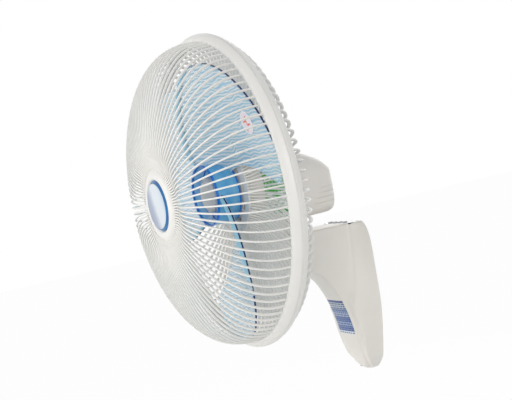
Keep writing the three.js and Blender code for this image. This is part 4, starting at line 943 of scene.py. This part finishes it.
def ring_instances(tree, given, geometry):
    """Copies of the geometry turned round Y through Centre, the first by the angle First."""
    line = {"Count": given["Count"], "Offset": (0, 0, 0), "Start Location": given["Centre"]}
    points = add_node(tree, "GeometryNodeMeshLine", line, mode="OFFSET").outputs[0]
    parts = {0: 2 * math.pi, 1: given["Count"]}
    step = add_node(tree, "ShaderNodeMath", parts, operation="DIVIDE").outputs[0]
    index = add_node(tree, "GeometryNodeInputIndex").outputs[0]
    terms = {0: index, 1: step, 2: given["First"]}
    angle = add_node(tree, "ShaderNodeMath", terms, operation="MULTIPLY_ADD").outputs[0]
    turned = add_node(tree, "ShaderNodeCombineXYZ", {"Y": angle}).outputs[0]
    copies = {"Points": points, "Instance": geometry, "Rotation": turned}
    return add_node(tree, "GeometryNodeInstanceOnPoints", copies).outputs[0]


# A ring: copies of one piece turned round the fan's axis by equal steps.
RING_INPUTS = {"Count": "Int", "First": "Float", "Centre": "Vector", "Material": "Material"}
ring_tree, given, result = shape_tree("ring of copies", RING_INPUTS)
finish_tree(ring_tree, given, result, ring_instances(ring_tree, given, given["Geometry"]))


def ring_of(name, source, count, first_deg, material, tree=ring_tree, **sizes):
    """Copies of a piece, modelled round the origin at +Z, set round the fan's axis."""
    sizes |= {"Count": count, "First": math.radians(first_deg), "Material": material}
    sizes["Centre"] = tuple(c * MM for c in FAN_AT)
    return run_tree(name, source, tree, sizes)


def rounded_profile(corners, steps):
    """Closed outline from (radius, distance, round) corners, each turned with its rounding."""
    made = []
    for i, (r, y, size) in enumerate(corners):
        here = Vector((r, y))
        before = Vector(corners[i - 1][:2]) - here
        after = Vector(corners[(i + 1) % len(corners)][:2]) - here
        if size == 0:
            made.append(tuple(here))
            continue
        cut = min(size, before.length * 0.45, after.length * 0.45)
        start, end = here + before.normalized() * cut, here + after.normalized() * cut
        for k in range(steps + 1):
            t = k / steps
            made.append(tuple((1 - t) ** 2 * start + 2 * t * (1 - t) * here + t**2 * end))
    return made


def turned_on_axis(name, corners, segments=120, smooth_angle=35, steps=4):
    """Solid of revolution about the fan's axis from (radius, distance, round) corners."""
    profile = rounded_profile(corners, steps)
    vertices, faces = [], []
    count = len(profile)
    for i in range(segments):
        a = 2 * math.pi * i / segments
        for r, y in profile:
            vertices.append((r * math.sin(a), RIM_Y + y, HEAD_Z + r * math.cos(a)))
    for i in range(segments):
        j = (i + 1) % segments
        for k in range(count):
            n = (k + 1) % count
            faces.append((i * count + k, i * count + n, j * count + n, j * count + k))
    made = mesh_object(name, vertices, faces, smooth_angle)
    shape = bmesh.new()
    shape.from_mesh(made.data)
    bmesh.ops.dissolve_degenerate(shape, dist=0.004 * MM, edges=shape.edges)
    shape.to_mesh(made.data)
    shape.free()
    soften(made, smooth_angle)
    return made


COVER_BORE = 13
COVER_SKIN = 2.5
cover_side = HOUSING_RADIUS - HOUSING_WALL
front_cover = turned_on_axis(
    "motor_front_cover_shell",
    [
        (COVER_BORE, 9, 0.6),
        (NECK_TUBE, 9, 0.8),
        (NECK_TUBE, COVER_FACE, 0),
        (HOUSING_RADIUS, COVER_FACE, 3.0),
        (HOUSING_RADIUS, HOUSING_FRONT - GAP, 0.5),
        (cover_side, HOUSING_FRONT - GAP, 0),
        (cover_side, COVER_FACE + COVER_SKIN, 1.5),
        (COVER_BORE, COVER_FACE + COVER_SKIN, 0),
    ],
    144,
)


def slot_cutter(name):
    """Curved slot at the origin, as deep as the cover and the guard's plate."""
    outline = []
    spread = math.radians(SLOT_SPREAD)
    for r, direction in ((SLOT_OUTER, 1), (SLOT_INNER, -1)):
        for a in np.linspace(-spread, spread, 9)[::direction]:
            outline.append((r * math.sin(a), r * math.cos(a)))
    return loft(name, [[(x, y, z) for x, z in outline] for y in (12, 36)])


slots = ring_of("cover slots", slot_cutter("slot"), SLOT_COUNT, SLOT_FIRST, white_abs)
carve(front_cover, slots)
fit(front_cover, white_abs, "head", "white_plastic", "motor_front_cover")

# ---------------------------------------------------------------- guards
# Each guard is one polypropylene moulding of thin ribs on a broad outer band. A hundred ribs
# run from the band over the bowl to the raised centre in front and to a flat plate behind.

RIB_COUNT = 100
RIB_PHASE = -0.55
RIB_WIDTH = 2.2
RIB_PROUD = 1.3  # from a rib's path to its outer face
RIB_ROUNDING = 0.9
FRONT_RIB_DEPTH = 3.4
REAR_RIB_DEPTH = 4.8
RIM_RADIUS = 205
BAND_RADIUS = 215.4
BAND_WALL = 2.6
BAND_SEAM = 9.2
BAND_BACK = 19.5
CAP_RADIUS = 49
CAP_HEIGHT = 87
CAP_FLOOR = 76
BOWL_DEPTH = 90.9
DIP_DEPTH = 7
DIP_RADIUS = 60
DIP_WIDTH = 14
BADGE_RADIUS = 34.1
REAR_DEPTH = 41
REAR_PLATE_RADIUS = 58

# Warm white polypropylene: a little waxy and glossier than the bracket.
guard_plastic = moulded_plastic("warm white polypropylene, moulded", "#F3F1ED", "#ECE9E4", 0.33)

# A rib cage: one path swept with a rounded bar, then set round the axis. The path's radius
# attribute makes the ribs' roots broader, as moulded ribs are.
bar_sizes = {"Width": "Float", "Depth": "Float", "Rounding": "Float"}
rib_tree, given, result = shape_tree("rib cage", {**RING_INPUTS, **bar_sizes})
path = add_node(rib_tree, "GeometryNodeMeshToCurve", {0: given["Geometry"]}).outputs[0]
sides = {"Width": given["Width"], "Height": given["Depth"]}
blank = add_node(rib_tree, "GeometryNodeCurvePrimitiveQuadrilateral", sides, mode="RECTANGLE")
corner = {"Curve": blank.outputs[0], "Radius": given["Rounding"], "Count": 2}
section = add_node(rib_tree, "GeometryNodeFilletCurve", corner, mode="POLY").outputs[0]
sweep = {"Curve": path, "Profile Curve": section, "Fill Caps": True}
swept = add_node(rib_tree, "GeometryNodeCurveToMesh", sweep).outputs[0]
finish_tree(rib_tree, given, result, ring_instances(rib_tree, given, swept))


def rib_cage(name, path, broad, depth, side):
    """Ribs along a path of (radius, distance) points, round the fan's axis. They are deeper
    than they are broad, to the inner side of the path; broad gives how many times the rib's
    section they have at each point."""
    along = np.gradient(np.array(path, float), axis=0)
    along /= np.linalg.norm(along, axis=1)[:, None]
    inward = side * (depth / 2 - RIB_PROUD)
    path = [(r + inward * a[1], y - inward * a[0]) for (r, y), a in zip(path, along)]
    mesh = bpy.data.meshes.new(name)
    edges = [(i, i + 1) for i in range(len(path) - 1)]
    mesh.from_pydata([(0, y * MM, r * MM) for r, y in path], edges, [])
    mesh.attributes.new("radius", "FLOAT", "POINT").data.foreach_set("value", broad)
    source = bpy.data.objects.new(name, mesh)
    sizes = {"Width": RIB_WIDTH * MM, "Depth": depth * MM, "Rounding": RIB_ROUNDING * MM}
    return ring_of(name, source, RIB_COUNT, RIB_PHASE, guard_plastic, rib_tree, **sizes)


def bowl_height(r):
    """Height of the front bowl over its radius, with the dip round the raised centre."""
    share = max(1 - (r / RIM_RADIUS) ** 2.25, 0)
    return BOWL_DEPTH * share**0.39 - DIP_DEPTH * math.exp(-(((r - DIP_RADIUS) / DIP_WIDTH) ** 2))


def joined(name, *pieces):
    """One object from several whose meshes stay as they are."""
    shape = bmesh.new()
    for piece in pieces:
        shape.from_mesh(piece.data)
    mesh = bpy.data.meshes.new(name)
    shape.to_mesh(mesh)
    shape.free()
    for piece in pieces:
        bpy.data.objects.remove(piece)
    made = linked(name, mesh)
    soften(made)
    return made


inner_band = BAND_RADIUS - BAND_WALL
front_band = turned_on_axis(
    "front band",
    [
        (RIM_RADIUS - 0.8, -1.0, 1.0),
        (RIM_RADIUS + 3.4, -1.2, 2.0),
        (RIM_RADIUS + 7.4, 2.8, 2.0),
        (BAND_RADIUS, BAND_SEAM - 1.5, 1.0),
        (BAND_RADIUS, BAND_SEAM, 0.35),
        (inner_band, BAND_SEAM, 0),
        (RIM_RADIUS + 2, 2.2, 1.0),
        (RIM_RADIUS - 0.8, 2.2, 0.6),
    ],
    240,
)
rear_band = turned_on_axis(
    "rear band",
    [
        (BAND_RADIUS, BAND_SEAM + GAP, 0.35),
        (BAND_RADIUS, BAND_SEAM + 2, 1.5),
        (BAND_RADIUS - 3.2, BAND_BACK - 0.5, 2.0),
        (BAND_RADIUS - 6, BAND_BACK + 0.1, 1.2),
        (BAND_RADIUS - 10, BAND_BACK, 0.6),
        (BAND_RADIUS - 10, BAND_BACK - 2.5, 0.4),
        (inner_band - 3, BAND_BACK - 2.5, 1.5),
        (inner_band, BAND_SEAM + GAP, 0),
    ],
    240,
)
# The rim's radii leave more points where the ribs turn fastest.
radii = [204.9, 204.6, 204, 203, 201.5, 199, 196, 192, 187, 181, 174, 166, 157, 147, 136, 124]
radii += [112, 100, 90, 82, 76, 71, 67, 64, 61, 58, 55, 52]
front_path = [(RIM_RADIUS + 0.9, 1.4), (RIM_RADIUS - 0.1, 0.4)]
front_path += [(r, -bowl_height(r)) for r in radii] + [(47, 7.0 - CAP_HEIGHT)]
broad = [1 + 0.35 * max(1 - (RIM_RADIUS - r) / 5, 0) for r, _ in front_path]
front_ribs = rib_cage("front ribs", front_path, broad, FRONT_RIB_DEPTH, 1)
cap = turned_on_axis(
    "cap",
    [
        (0.5, -CAP_FLOOR - 2, 0),
        (BADGE_RADIUS + GAP, -CAP_FLOOR - 2, 0),
        (BADGE_RADIUS + GAP, -CAP_HEIGHT + 2.2, 0.4),
        (BADGE_RADIUS + 2.8, -CAP_HEIGHT, 1.8),
        (CAP_RADIUS - 5, -CAP_HEIGHT + 1.0, 3.0),
        (CAP_RADIUS - 0.4, -CAP_HEIGHT + 4.8, 3.0),
        (CAP_RADIUS, -CAP_FLOOR, 0.6),
        (0.5, -CAP_FLOOR, 0),
    ],
    160,
    steps=6,
)
front_guard = joined("front_guard_grille", front_band, front_ribs, cap)
fit(front_guard, guard_plastic, "head", "white_plastic", "front_guard")

rear_flat = REAR_DEPTH - 1.3
rear_points = [(BAND_RADIUS - 6.5, BAND_BACK - 1), (204.5, 26), (199, 32.5), (188, 38)]
rear_points += [(172, rear_flat), (130, rear_flat), (84, rear_flat), (70, 34)]
rear_points += [(REAR_PLATE_RADIUS - 1.2, REAR_PLATE_FACE + 1.6)]
rear_path = rounded(rear_points, 5)
broad = [1 + 0.75 * max(1 - (y - BAND_BACK) / 13, 0) for _, y in rear_path[:20]]
broad += [1.0] * (len(rear_path) - len(broad))
rear_ribs = rib_cage("rear ribs", rear_path, broad, REAR_RIB_DEPTH, -1)
plate_back = REAR_PLATE_FACE + REAR_PLATE_THICK
plate = turned_on_axis(
    "plate",
    [
        (NECK_TUBE + GAP, REAR_PLATE_FACE, 0.4),
        (REAR_PLATE_RADIUS, REAR_PLATE_FACE, 1.2),
        (REAR_PLATE_RADIUS, plate_back, 1.2),
        (NECK_TUBE + GAP, plate_back, 0.4),
    ],
    144,
)
slots = ring_of("plate slots", slot_cutter("slot"), SLOT_COUNT, SLOT_FIRST, guard_plastic)
carve(plate, slots)
rear_guard = joined("rear_guard_grille", rear_band, rear_ribs, plate)
fit(rear_guard, guard_plastic, "head", "white_plastic", "rear_guard")

# ---------------------------------------------------------------- guard nut
# A threaded ring of white ABS, turned by hand on the motor cover's nose. It clamps the rear
# guard's plate; grips stand out round it.

NUT_RADIUS = 30
GRIP_COUNT = 12
nut_body = turned_on_axis(
    "nut body",
    [
        (NECK_TUBE + GAP, 12, 0.4),
        (25.5, 12, 1.2),
        (26, 17.5, 0.5),
        (NUT_RADIUS, 18, 0.6),
        (NUT_RADIUS, REAR_PLATE_FACE - GAP, 0.3),
        (NECK_TUBE + GAP, REAR_PLATE_FACE - GAP, 0.2),
    ],
    96,
)
grip = rod("grip", 1.6, 12.6, 18.2, "y", (0, 0, 26.2), 12, 0.4)
guard_nut = weld(nut_body, ring_of("grips", grip, GRIP_COUNT, 0, white_abs))
guard_nut.name = "guard_nut_ring"
fit(guard_nut, white_abs, "head", "white_plastic", "guard_nut")

# ---------------------------------------------------------------- centre badge
# A ring of clear blue acrylic holds a pale domed disc, pearl lacquered from behind. The maker's
# sign on the real one is left off.

BADGE_BACK = -(CAP_FLOOR + 2 + GAP)
RING_PROUD = 1.1
DOME_RISE = 1.0
ring_inner = BADGE_RADIUS - 3.2


def clear_plastic(name, colour, roughness, alpha, deeper):
    """Clear coloured plastic in a thin wall: gloss on top, a share of its own blue, and the
    rest of the light passes. The blue flows slowly, as in a moulding with uneven walls."""
    material, tree, shader, place = new_material(name, {"IOR": 1.55, "Alpha": alpha})
    flows = {"Vector": place, "Scale": 1 / (14 * MM), "Detail": 2.0}
    flow = add_node(tree, "ShaderNodeTexNoise", flows).outputs["Fac"]
    tones = {0: flow, 6: linear(colour), 7: linear(deeper)}
    tint = add_node(tree, "ShaderNodeMix", tones, data_type="RGBA").outputs[2]
    span = {"Value": flow, "To Min": roughness, "To Max": roughness + 0.06}
    gloss = add_node(tree, "ShaderNodeMapRange", span).outputs[0]
    bumps = {"Height": flow, "Distance": 0.15 * MM}
    relief = add_node(tree, "ShaderNodeBump", bumps).outputs[0]
    wire(tree, shader, {"Base Color": tint, "Roughness": gloss, "Normal": relief})
    return material


ring_blue = clear_plastic("clear blue acrylic, polished", "#1688C8", 0.05, 1.0, "#083C80")
badge_ring = turned_on_axis(
    "badge_ring_blue",
    [
        (ring_inner, BADGE_BACK, 0),
        (BADGE_RADIUS, BADGE_BACK, 0),
        (BADGE_RADIUS, -CAP_HEIGHT + 1.6, 0.3),
        (ring_inner, -CAP_HEIGHT - RING_PROUD, 0.2),
    ],
    144,
)
fit(badge_ring, ring_blue, "head", "badge_blue", "badge_ring")

# Pearl lacquer behind clear acrylic, under a clear coat; the soft gleam that slants across it is
# painted highlight and painted shade.
surface = {"Roughness": 0.22, "Coat Weight": 0.35, "Coat Roughness": 0.05}
pearl, tree, shader, place = new_material("pearl lacquered acrylic dome, painted highlight", surface)
centring = {"Vector": place, "Location": (0, 0, -HEAD_Z * MM)}
centred = add_node(tree, "ShaderNodeMapping", centring).outputs[0]
split = add_node(tree, "ShaderNodeSeparateXYZ", {0: centred}).outputs
terms = {0: split["Z"], 1: 0.35, 2: split["X"]}
slant = add_node(tree, "ShaderNodeMath", terms, operation="MULTIPLY_ADD").outputs[0]
span = {"Value": slant, "From Min": -36 * MM, "From Max": 36 * MM}
across = add_node(tree, "ShaderNodeMapRange", span).outputs[0]
painted_sheen = add_node(tree, "ShaderNodeValToRGB", {0: across})
stops = painted_sheen.color_ramp.elements
stops[0].color = linear("#7C89AC")
stops[1].color = linear("#C3D3E6")
for position, colour in ((0.3, "#98A5BF"), (0.5, "#D9E1E9"), (0.75, "#DDE5EC")):
    stops.new(position).color = linear(colour)
wire(tree, shader, {"Base Color": painted_sheen.outputs[0]})
lens_rim = ring_inner - GAP
dome_front = -CAP_HEIGHT - RING_PROUD
shares = [1 - i / 12 for i in range(12)]
dome = [(lens_rim * s, dome_front - DOME_RISE * (1 - s**2), 0) for s in shares]
dome = [(0.4, BADGE_BACK, 0), (lens_rim, BADGE_BACK, 0), *dome, (0.4, dome_front - DOME_RISE, 0)]
badge_lens = turned_on_axis("badge_dome", dome)
fit(badge_lens, pearl, "head", "badge_pearl", "badge_lens")

# ---------------------------------------------------------------- blades
# Three blades and their cup are one moulding of clear pale blue styrene acrylonitrile. Ripples
# are cut in the blades' faces; navy painted shade and a pale painted highlight stand on their edges.

BLADE_COUNT = 3
BLADE_TIP = RIM_RADIUS - 5.5
BLADE_WALL = 2.4
BLADE_CAMBER = 5
TIP_ROUND = 24  # how far the tip's corners draw in
ROOT_RADIUS = 47
HUB_RADIUS = 42
HUB_WALL = 2.4
BLADE_START = HUB_RADIUS - 1.5  # inside the hub's wall
HUB_FRONT = -18
HUB_BACK = 17
PIN_Y = 12
TRAILING = {"angle": -26.5, "sweep": 51, "y": -13, "bow": 16}
LEADING = {"angle": 53.5, "sweep": 37, "y": 14.5, "rise": 6.5}


def edge_angles(r):
    """Angles of a blade's trailing and leading edge at a radius, in degrees."""
    share = (r - ROOT_RADIUS) / (BLADE_TIP - ROOT_RADIUS)
    leading = LEADING["angle"] + LEADING["sweep"] * (1 - (1 - min(share, 1)) ** 1.8)
    return TRAILING["angle"] + TRAILING["sweep"] * share, leading


def blade_reach(chord):
    """Radius from the hub's wall to the tip, whose two corners are rounded off."""
    return BLADE_TIP - TIP_ROUND * abs(2 * chord - 1) ** 5 - BLADE_START


def blade_middle(chord, reach):
    """Point of the blade's middle surface; chord runs from its trailing to its leading edge."""
    r = BLADE_START + blade_reach(chord) * reach
    s = max((r - ROOT_RADIUS) / (BLADE_TIP - ROOT_RADIUS), 0)
    trailing, leading = edge_angles(r)
    angle = math.radians(trailing + (leading - trailing) * chord)
    y_trailing = TRAILING["y"] - TRAILING["bow"] * math.sin(math.pi * 0.62 * s)
    y_leading = LEADING["y"] - LEADING["rise"] * s**2
    camber = BLADE_CAMBER * math.sin(math.pi * chord) * min(s * 3, 1)
    y = y_trailing + (y_leading - y_trailing) * chord + camber
    return np.array([r * math.sin(angle), y, r * math.cos(angle)])


def blade_normal(chord, reach):
    """Direction square to the middle surface, towards the front."""
    c, q = min(max(chord, 0.001), 0.999), min(max(reach, 0.001), 0.999)
    across = blade_middle(c + 0.001, q) - blade_middle(c - 0.001, q)
    outward = blade_middle(c, q + 0.001) - blade_middle(c, q - 0.001)
    normal = np.cross(across, outward)
    return normal / np.linalg.norm(normal)


def blade_skins(name, columns=40, rows=44):
    """Blade between its two skins, at the fan's centre."""
    chords = 0.5 - 0.5 * np.cos(np.linspace(0, math.pi, columns + 1))
    reaches = np.sin(np.linspace(0, math.pi / 2, rows + 1))
    vertices, faces = [], []
    for side in (-1, 1):
        for q in reaches:
            for c in chords:
                vertices.append(blade_middle(c, q) + blade_normal(c, q) * side * BLADE_WALL / 2)
    width = columns + 1
    per = (rows + 1) * width
    for offset in (0, per):
        for v in range(rows):
            for u in range(columns):
                a = offset + v * width + u
                quad = (a, a + 1, a + width + 1, a + width)
                faces.append(quad if offset else quad[::-1])
    rim = [v * width for v in range(rows + 1)]
    rim += [rows * width + u for u in range(1, width)]
    rim += [v * width + columns for v in range(rows - 1, -1, -1)]
    rim += list(range(columns - 1, 0, -1))
    for a, b in zip(rim, rim[1:] + rim[:1]):
        faces.append((a, b, b + per, a + per))
    return mesh_object(name, vertices, faces, 60)


def swept_along_edge(name, route, section):
    """Bar along the blade's edge; route has (chord, reach) pairs, and section gives points
    (outwards, to the front, along -Y) for a share of the route."""
    points = np.array([blade_middle(c, q) for c, q in route])
    normals = np.array([blade_normal(c, q) for c, q in route])
    along = np.gradient(points, axis=0)
    outward = -np.cross(along, normals)
    outward /= np.linalg.norm(outward, axis=1, keepdims=True)
    rings = []
    for i, point in enumerate(points):
        ring = []
        for out, front, ahead in section(i / (len(points) - 1)):
            ring.append(tuple(point + outward[i] * out + normals[i] * front + [0, -ahead, 0]))
        rings.append(ring)
    return loft(name, rings, 60)


WAVE_PERIOD = 0.314  # period of the wave texture at scale 1


def blade_plastic(name, base, shade_colour, highlight_colour, ripple_mm, relief_mm, alpha):
    """Clear pale blue SAN whose faces carry long wavy ripples, like water. A thin pale line of painted
    highlight runs along each ripple's top, and painted shade darkens the hollows between."""
    surface = {"IOR": 1.55, "Roughness": 0.14, "Alpha": alpha}
    material, tree, shader, place = new_material(name, surface)
    ripples = {"Vector": place, "Scale": WAVE_PERIOD / (ripple_mm * MM), "Distortion": 9.0}
    ripples |= {"Detail": 1.5, "Detail Scale": 0.55}
    bands = {"wave_type": "BANDS", "bands_direction": "Z"}
    wave = add_node(tree, "ShaderNodeTexWave", ripples, **bands).outputs["Fac"]
    pooled = {"Vector": place, "Scale": 1 / (50 * MM), "Detail": 2.0}
    pools = add_node(tree, "ShaderNodeTexNoise", pooled).outputs["Fac"]
    span = {"Value": wave, "From Min": 0.4, "From Max": 0.1, "To Max": 0.6}
    ripple_shade = add_node(tree, "ShaderNodeMapRange", span).outputs[0]
    span = {"Value": wave, "From Min": 0.62, "From Max": 0.95}
    ripple_highlight = add_node(tree, "ShaderNodeMapRange", span).outputs[0]
    tint = linear(base[0])
    for share, colour in ((pools, base[1]), (ripple_shade, shade_colour), (ripple_highlight, highlight_colour)):
        tones = {0: share, 6: tint, 7: linear(colour)}
        tint = add_node(tree, "ShaderNodeMix", tones, data_type="RGBA").outputs[2]
    bumps = {"Height": wave, "Distance": relief_mm * MM}
    relief = add_node(tree, "ShaderNodeBump", bumps).outputs[0]
    wire(tree, shader, {"Base Color": tint, "Normal": relief})
    return material


# The third and fourth colours are the painted shade in the ripples' hollows and their painted
# highlight.
blade_blue = blade_plastic(
    "clear pale blue SAN, rippled", ("#B0E0FA", "#E0F5FF"), "#8ACCEC", "#FFFFFF", 4.4, 0.3, 0.6
)
# The edges of clear blue plastic look dark from the side and bright where light leaves them; here both
# are painted, as navy painted shade and a pale painted highlight.
edge_painted_shade = moulded_plastic("navy painted shade on clear blue SAN edges", "#1C3478", "#141F52", 0.14, 3, 0.004)
lip_painted_highlight = clear_plastic("pale painted highlight on clear blue SAN lips", "#9CE2FF", 0.08, 0.78, "#C4F0FF")
hub_blue = clear_plastic("clear mid blue SAN hub", "#30B4FF", 0.05, 0.58, "#98E0FF")
hub_rim_painted_shade = clear_plastic("deep blue painted shade on the SAN hub's rims", "#0468D8", 0.08, 0.78, "#1494F4")

blades = ring_of("blade_skins", blade_skins("blade"), BLADE_COUNT, 0, blade_blue)
fit(blades, blade_blue, "rotor", "blade_plastic", "blade_set")

EDGE_WIDTH = 1.2
EDGE_HALF = BLADE_WALL / 2
TIP_SHARE = 0.74  # past it the tip turns away and looks pale, so the navy painted shade stops there
edge_section = [(-EDGE_WIDTH, EDGE_HALF, 0), (0, EDGE_HALF, 0), (0.35, EDGE_HALF * 0.5, 0)]
edge_section += [(out, -front, 0) for out, front, _ in reversed(edge_section)]
edge_route = [(c, 1) for c in np.linspace(0.004, TIP_SHARE, 60)]
edge = swept_along_edge("blade tip edge", edge_route, lambda share: edge_section)
tips = ring_of("blade_tips_painted_shade", edge, BLADE_COUNT, 0, edge_painted_shade)
fit(tips, edge_painted_shade, "rotor", "blade_plastic", "blade_set")

# The trailing edge is a bead with a lip that bends to the front: navy painted shade along the bead,
# a pale painted highlight along the lip.
BEAD_DEPTH = 1.1
LIP_DEPTH = 5.2


def edge_bar(near, far):
    """Section between two distances in front of the edge, thinning out at both ends."""

    def section(share):
        fade = min(1, share * 9, (1 - share) * 7)
        half = BLADE_WALL * (0.5 if near < 0 else 0.34)
        ahead = max(far * fade, near + 0.2)
        return [(-half, 0, near), (half, 0, near), (half * 0.9, 0, ahead), (-half * 0.9, 0, ahead)]

    return section


trailing_route = [(0, q) for q in np.linspace(0.03, 0.985, 56)]
bead = swept_along_edge("bead", trailing_route, edge_bar(-1.0, BEAD_DEPTH))
beads = ring_of("blade_beads_painted_shade", bead, BLADE_COUNT, 0, edge_painted_shade)
fit(beads, edge_painted_shade, "rotor", "blade_plastic", "blade_set")
lip = swept_along_edge("lip", trailing_route, edge_bar(BEAD_DEPTH * 0.9, BEAD_DEPTH + LIP_DEPTH))
lips = ring_of("blade_lips_painted_highlight", lip, BLADE_COUNT, 0, lip_painted_highlight)
fit(lips, lip_painted_highlight, "rotor", "blade_plastic", "blade_set")

HUB_BOSS = 11
SHAFT_BORE = 4.3
hub_inner = HUB_RADIUS - HUB_WALL
hub = turned_on_axis(
    "hub_cup",
    [
        (HUB_BOSS, -2, 0.5),
        (HUB_BOSS, 0, 0.5),
        (hub_inner, 0, 1.5),
        (hub_inner, HUB_FRONT + 1.2, 0.8),
        (HUB_RADIUS, HUB_FRONT + 1.2, 0.8),
        (HUB_RADIUS, HUB_BACK - 1.2, 0.6),
        (hub_inner, HUB_BACK - 1.2, 0.6),
        (hub_inner, 3, 1.5),
        (HUB_BOSS, 3, 0.5),
        (HUB_BOSS, PIN_Y + 4, 0.5),
        (SHAFT_BORE, PIN_Y + 4, 0),
        (SHAFT_BORE, -2, 0),
    ],
)
fit(hub, hub_blue, "rotor", "blade_plastic", "blade_set")


def hub_rim(radius, front, back, wall):
    """Bead at an edge of the hub's cup or round its web, in deep blue painted shade."""
    ends = [(radius - wall, front), (radius, front), (radius, back), (radius - wall, back)]
    return turned_on_axis("hub rim", [(r, y, 0.8) for r, y in ends], 120, 60)


hub_edges = joined(
    "hub_rims_painted_shade",
    hub_rim(HUB_RADIUS + 0.1, HUB_FRONT, HUB_FRONT + 3.6, HUB_WALL + 0.2),
    hub_rim(HUB_RADIUS + 0.1, HUB_BACK - 2.6, HUB_BACK, HUB_WALL + 0.2),
    hub_rim(hub_inner + 0.1, -1.4, 1.0, 1.6),
    hub_rim(HUB_BOSS + 0.6, PIN_Y + 1.5, PIN_Y + 4.1, 1.4),
)
fit(hub_edges, hub_rim_painted_shade, "rotor", "blade_plastic", "blade_set")

# A round white paper sticker on the first blade, with a few orange strokes and no lettering.
STICKER_RADIUS = 15
STICKER_AT = (160.0, 58.5)  # radius, and angle in degrees
FILM_THICK = 0.05
white_paper = moulded_plastic("white coated paper", "#F6F1F6", "#F0E9F2", 0.4, 2, 0.01)
orange_ink = moulded_plastic("orange red printing ink", "#F2694C", "#EA5C40", 0.4, 2, 0.01)


def on_blade(out, along, lift):
    """Point of the first blade's front skin, out and along in mm from the sticker's middle."""
    r = STICKER_AT[0] + out
    trailing, leading = edge_angles(r)
    angle = STICKER_AT[1] + math.degrees(along / STICKER_AT[0])
    chord = (angle - trailing) / (leading - trailing)
    reach = (r - BLADE_START) / blade_reach(chord)
    return blade_middle(chord, reach) + blade_normal(chord, reach) * (BLADE_WALL / 2 + lift)


def stuck_on(name, outline, lift, material):
    """Thin film on the blade with the given outline round the sticker's middle."""
    heights = (lift - FILM_THICK, lift)
    rings = [[tuple(on_blade(u, v, h) + FAN_AT) for u, v in outline] for h in heights]
    fit(loft(name, rings, 60), material, "rotor", "blade_plastic")


turn = np.linspace(0, 2 * math.pi, 40, endpoint=False)
sticker_rim = [(STICKER_RADIUS * math.cos(a), STICKER_RADIUS * math.sin(a)) for a in turn]
stuck_on("blade_sticker", sticker_rim, 0.2, white_paper)
STROKES = [(-6, -6, 2, -2), (2, -2, -1, 3), (-1, 3, 7, 6), (7, -6, 3, -3), (-9, 5, -8, 7)]
for i, stroke in enumerate(STROKES):
    stuck_on(f"sticker_stroke_{i + 1}", bar(*stroke, 2.0), 0.32, orange_ink)

# ---------------------------------------------------------------- blade nut
# A grey ABS nut with a left hand thread holds the blades on the shaft. It is knurled, with a
# flat nose, and is turned off by hand for cleaning.

BLADE_NUT_RADIUS = 24
KNURL_COUNT = 36
nut_grey = moulded_plastic("pale grey ABS, satin moulded", "#D3D5D8", "#C8CBCF", 0.36)
back = -2 - GAP
nut_core = turned_on_axis(
    "blade nut core",
    [
        (SHAFT_BORE, back, 0),
        (BLADE_NUT_RADIUS - 3, back, 1.0),
        (BLADE_NUT_RADIUS - 1, back - 2, 1.0),
        (BLADE_NUT_RADIUS - 2, back - 10, 2.0),
        (BLADE_NUT_RADIUS - 6, back - 14, 3.0),
        (0.5, back - 15, 0),
        (0.5, -12.3, 0),
        (SHAFT_BORE, -12.3, 0),
    ],
)
knurl = rod("knurl", 1.3, back - 10.5, back - 1.4, "y", (0, 0, BLADE_NUT_RADIUS - 1.6), 10, 0.4)
blade_nut = weld(nut_core, ring_of("knurls", knurl, KNURL_COUNT, 0, nut_grey))
blade_nut.name = "blade_nut_knurled"
fit(blade_nut, nut_grey, "rotor", "nut_plastic", "blade_nut")

# ---------------------------------------------------------------- motor and swivel, inside
# The CAD solids stay for what the housings hide: pressed and cast metal, copper windings,
# boards and gears. They get their materials here, and show only through slots and gaps.

ground_steel = worked_metal("ground shaft steel", "#D0D2D5", 0.22, 0.3, (1, 12, 1))
cast = worked_metal("cast aluminium, as cast", "#A9ADB1", 0.5, 0.5, (1, 1, 1))
core_steel = worked_metal("electrical steel laminations, varnished", "#7C8085", 0.42, 0.4, (1, 30, 1))
bronze = worked_metal("sintered bronze", "#B08A4A", 0.45, 0.3, (1, 1, 1))
copper = worked_metal("enamelled copper wire", "#B4602F", 0.3, 0.35, (1, 14, 1))
natural = moulded_plastic("natural white acetal, machined", "#E4E2D8", "#DBD9CE", 0.4)
board_green = moulded_plastic("green lacquered board", "#2F6B45", "#285C3B", 0.3, 2.0, 0.01)
INSIDE = {
    zinc: ["swivel_post", "post_clip", "swing_motor", "drive_pin"],
    ground_steel: ["motor_shaft", "front_bearing", "rear_bearing"],
    cast: ["swivel_housing", "front_bell", "rear_bell"],
    core_steel: ["rotor_core", "stator_core"],
    bronze: ["swivel_bush"],
    copper: ["winding_front", "winding_rear"],
    natural: ["swing_gear", "swing_pinion", "run_capacitor", "terminal_block"],
    board_green: ["power_board", "control_board"],
}
INSIDE[zinc] += [f"motor_bolt_{i}" for i in range(1, 5)]
for material, nodes in INSIDE.items():
    for node in nodes:
        paint(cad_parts[node], material)
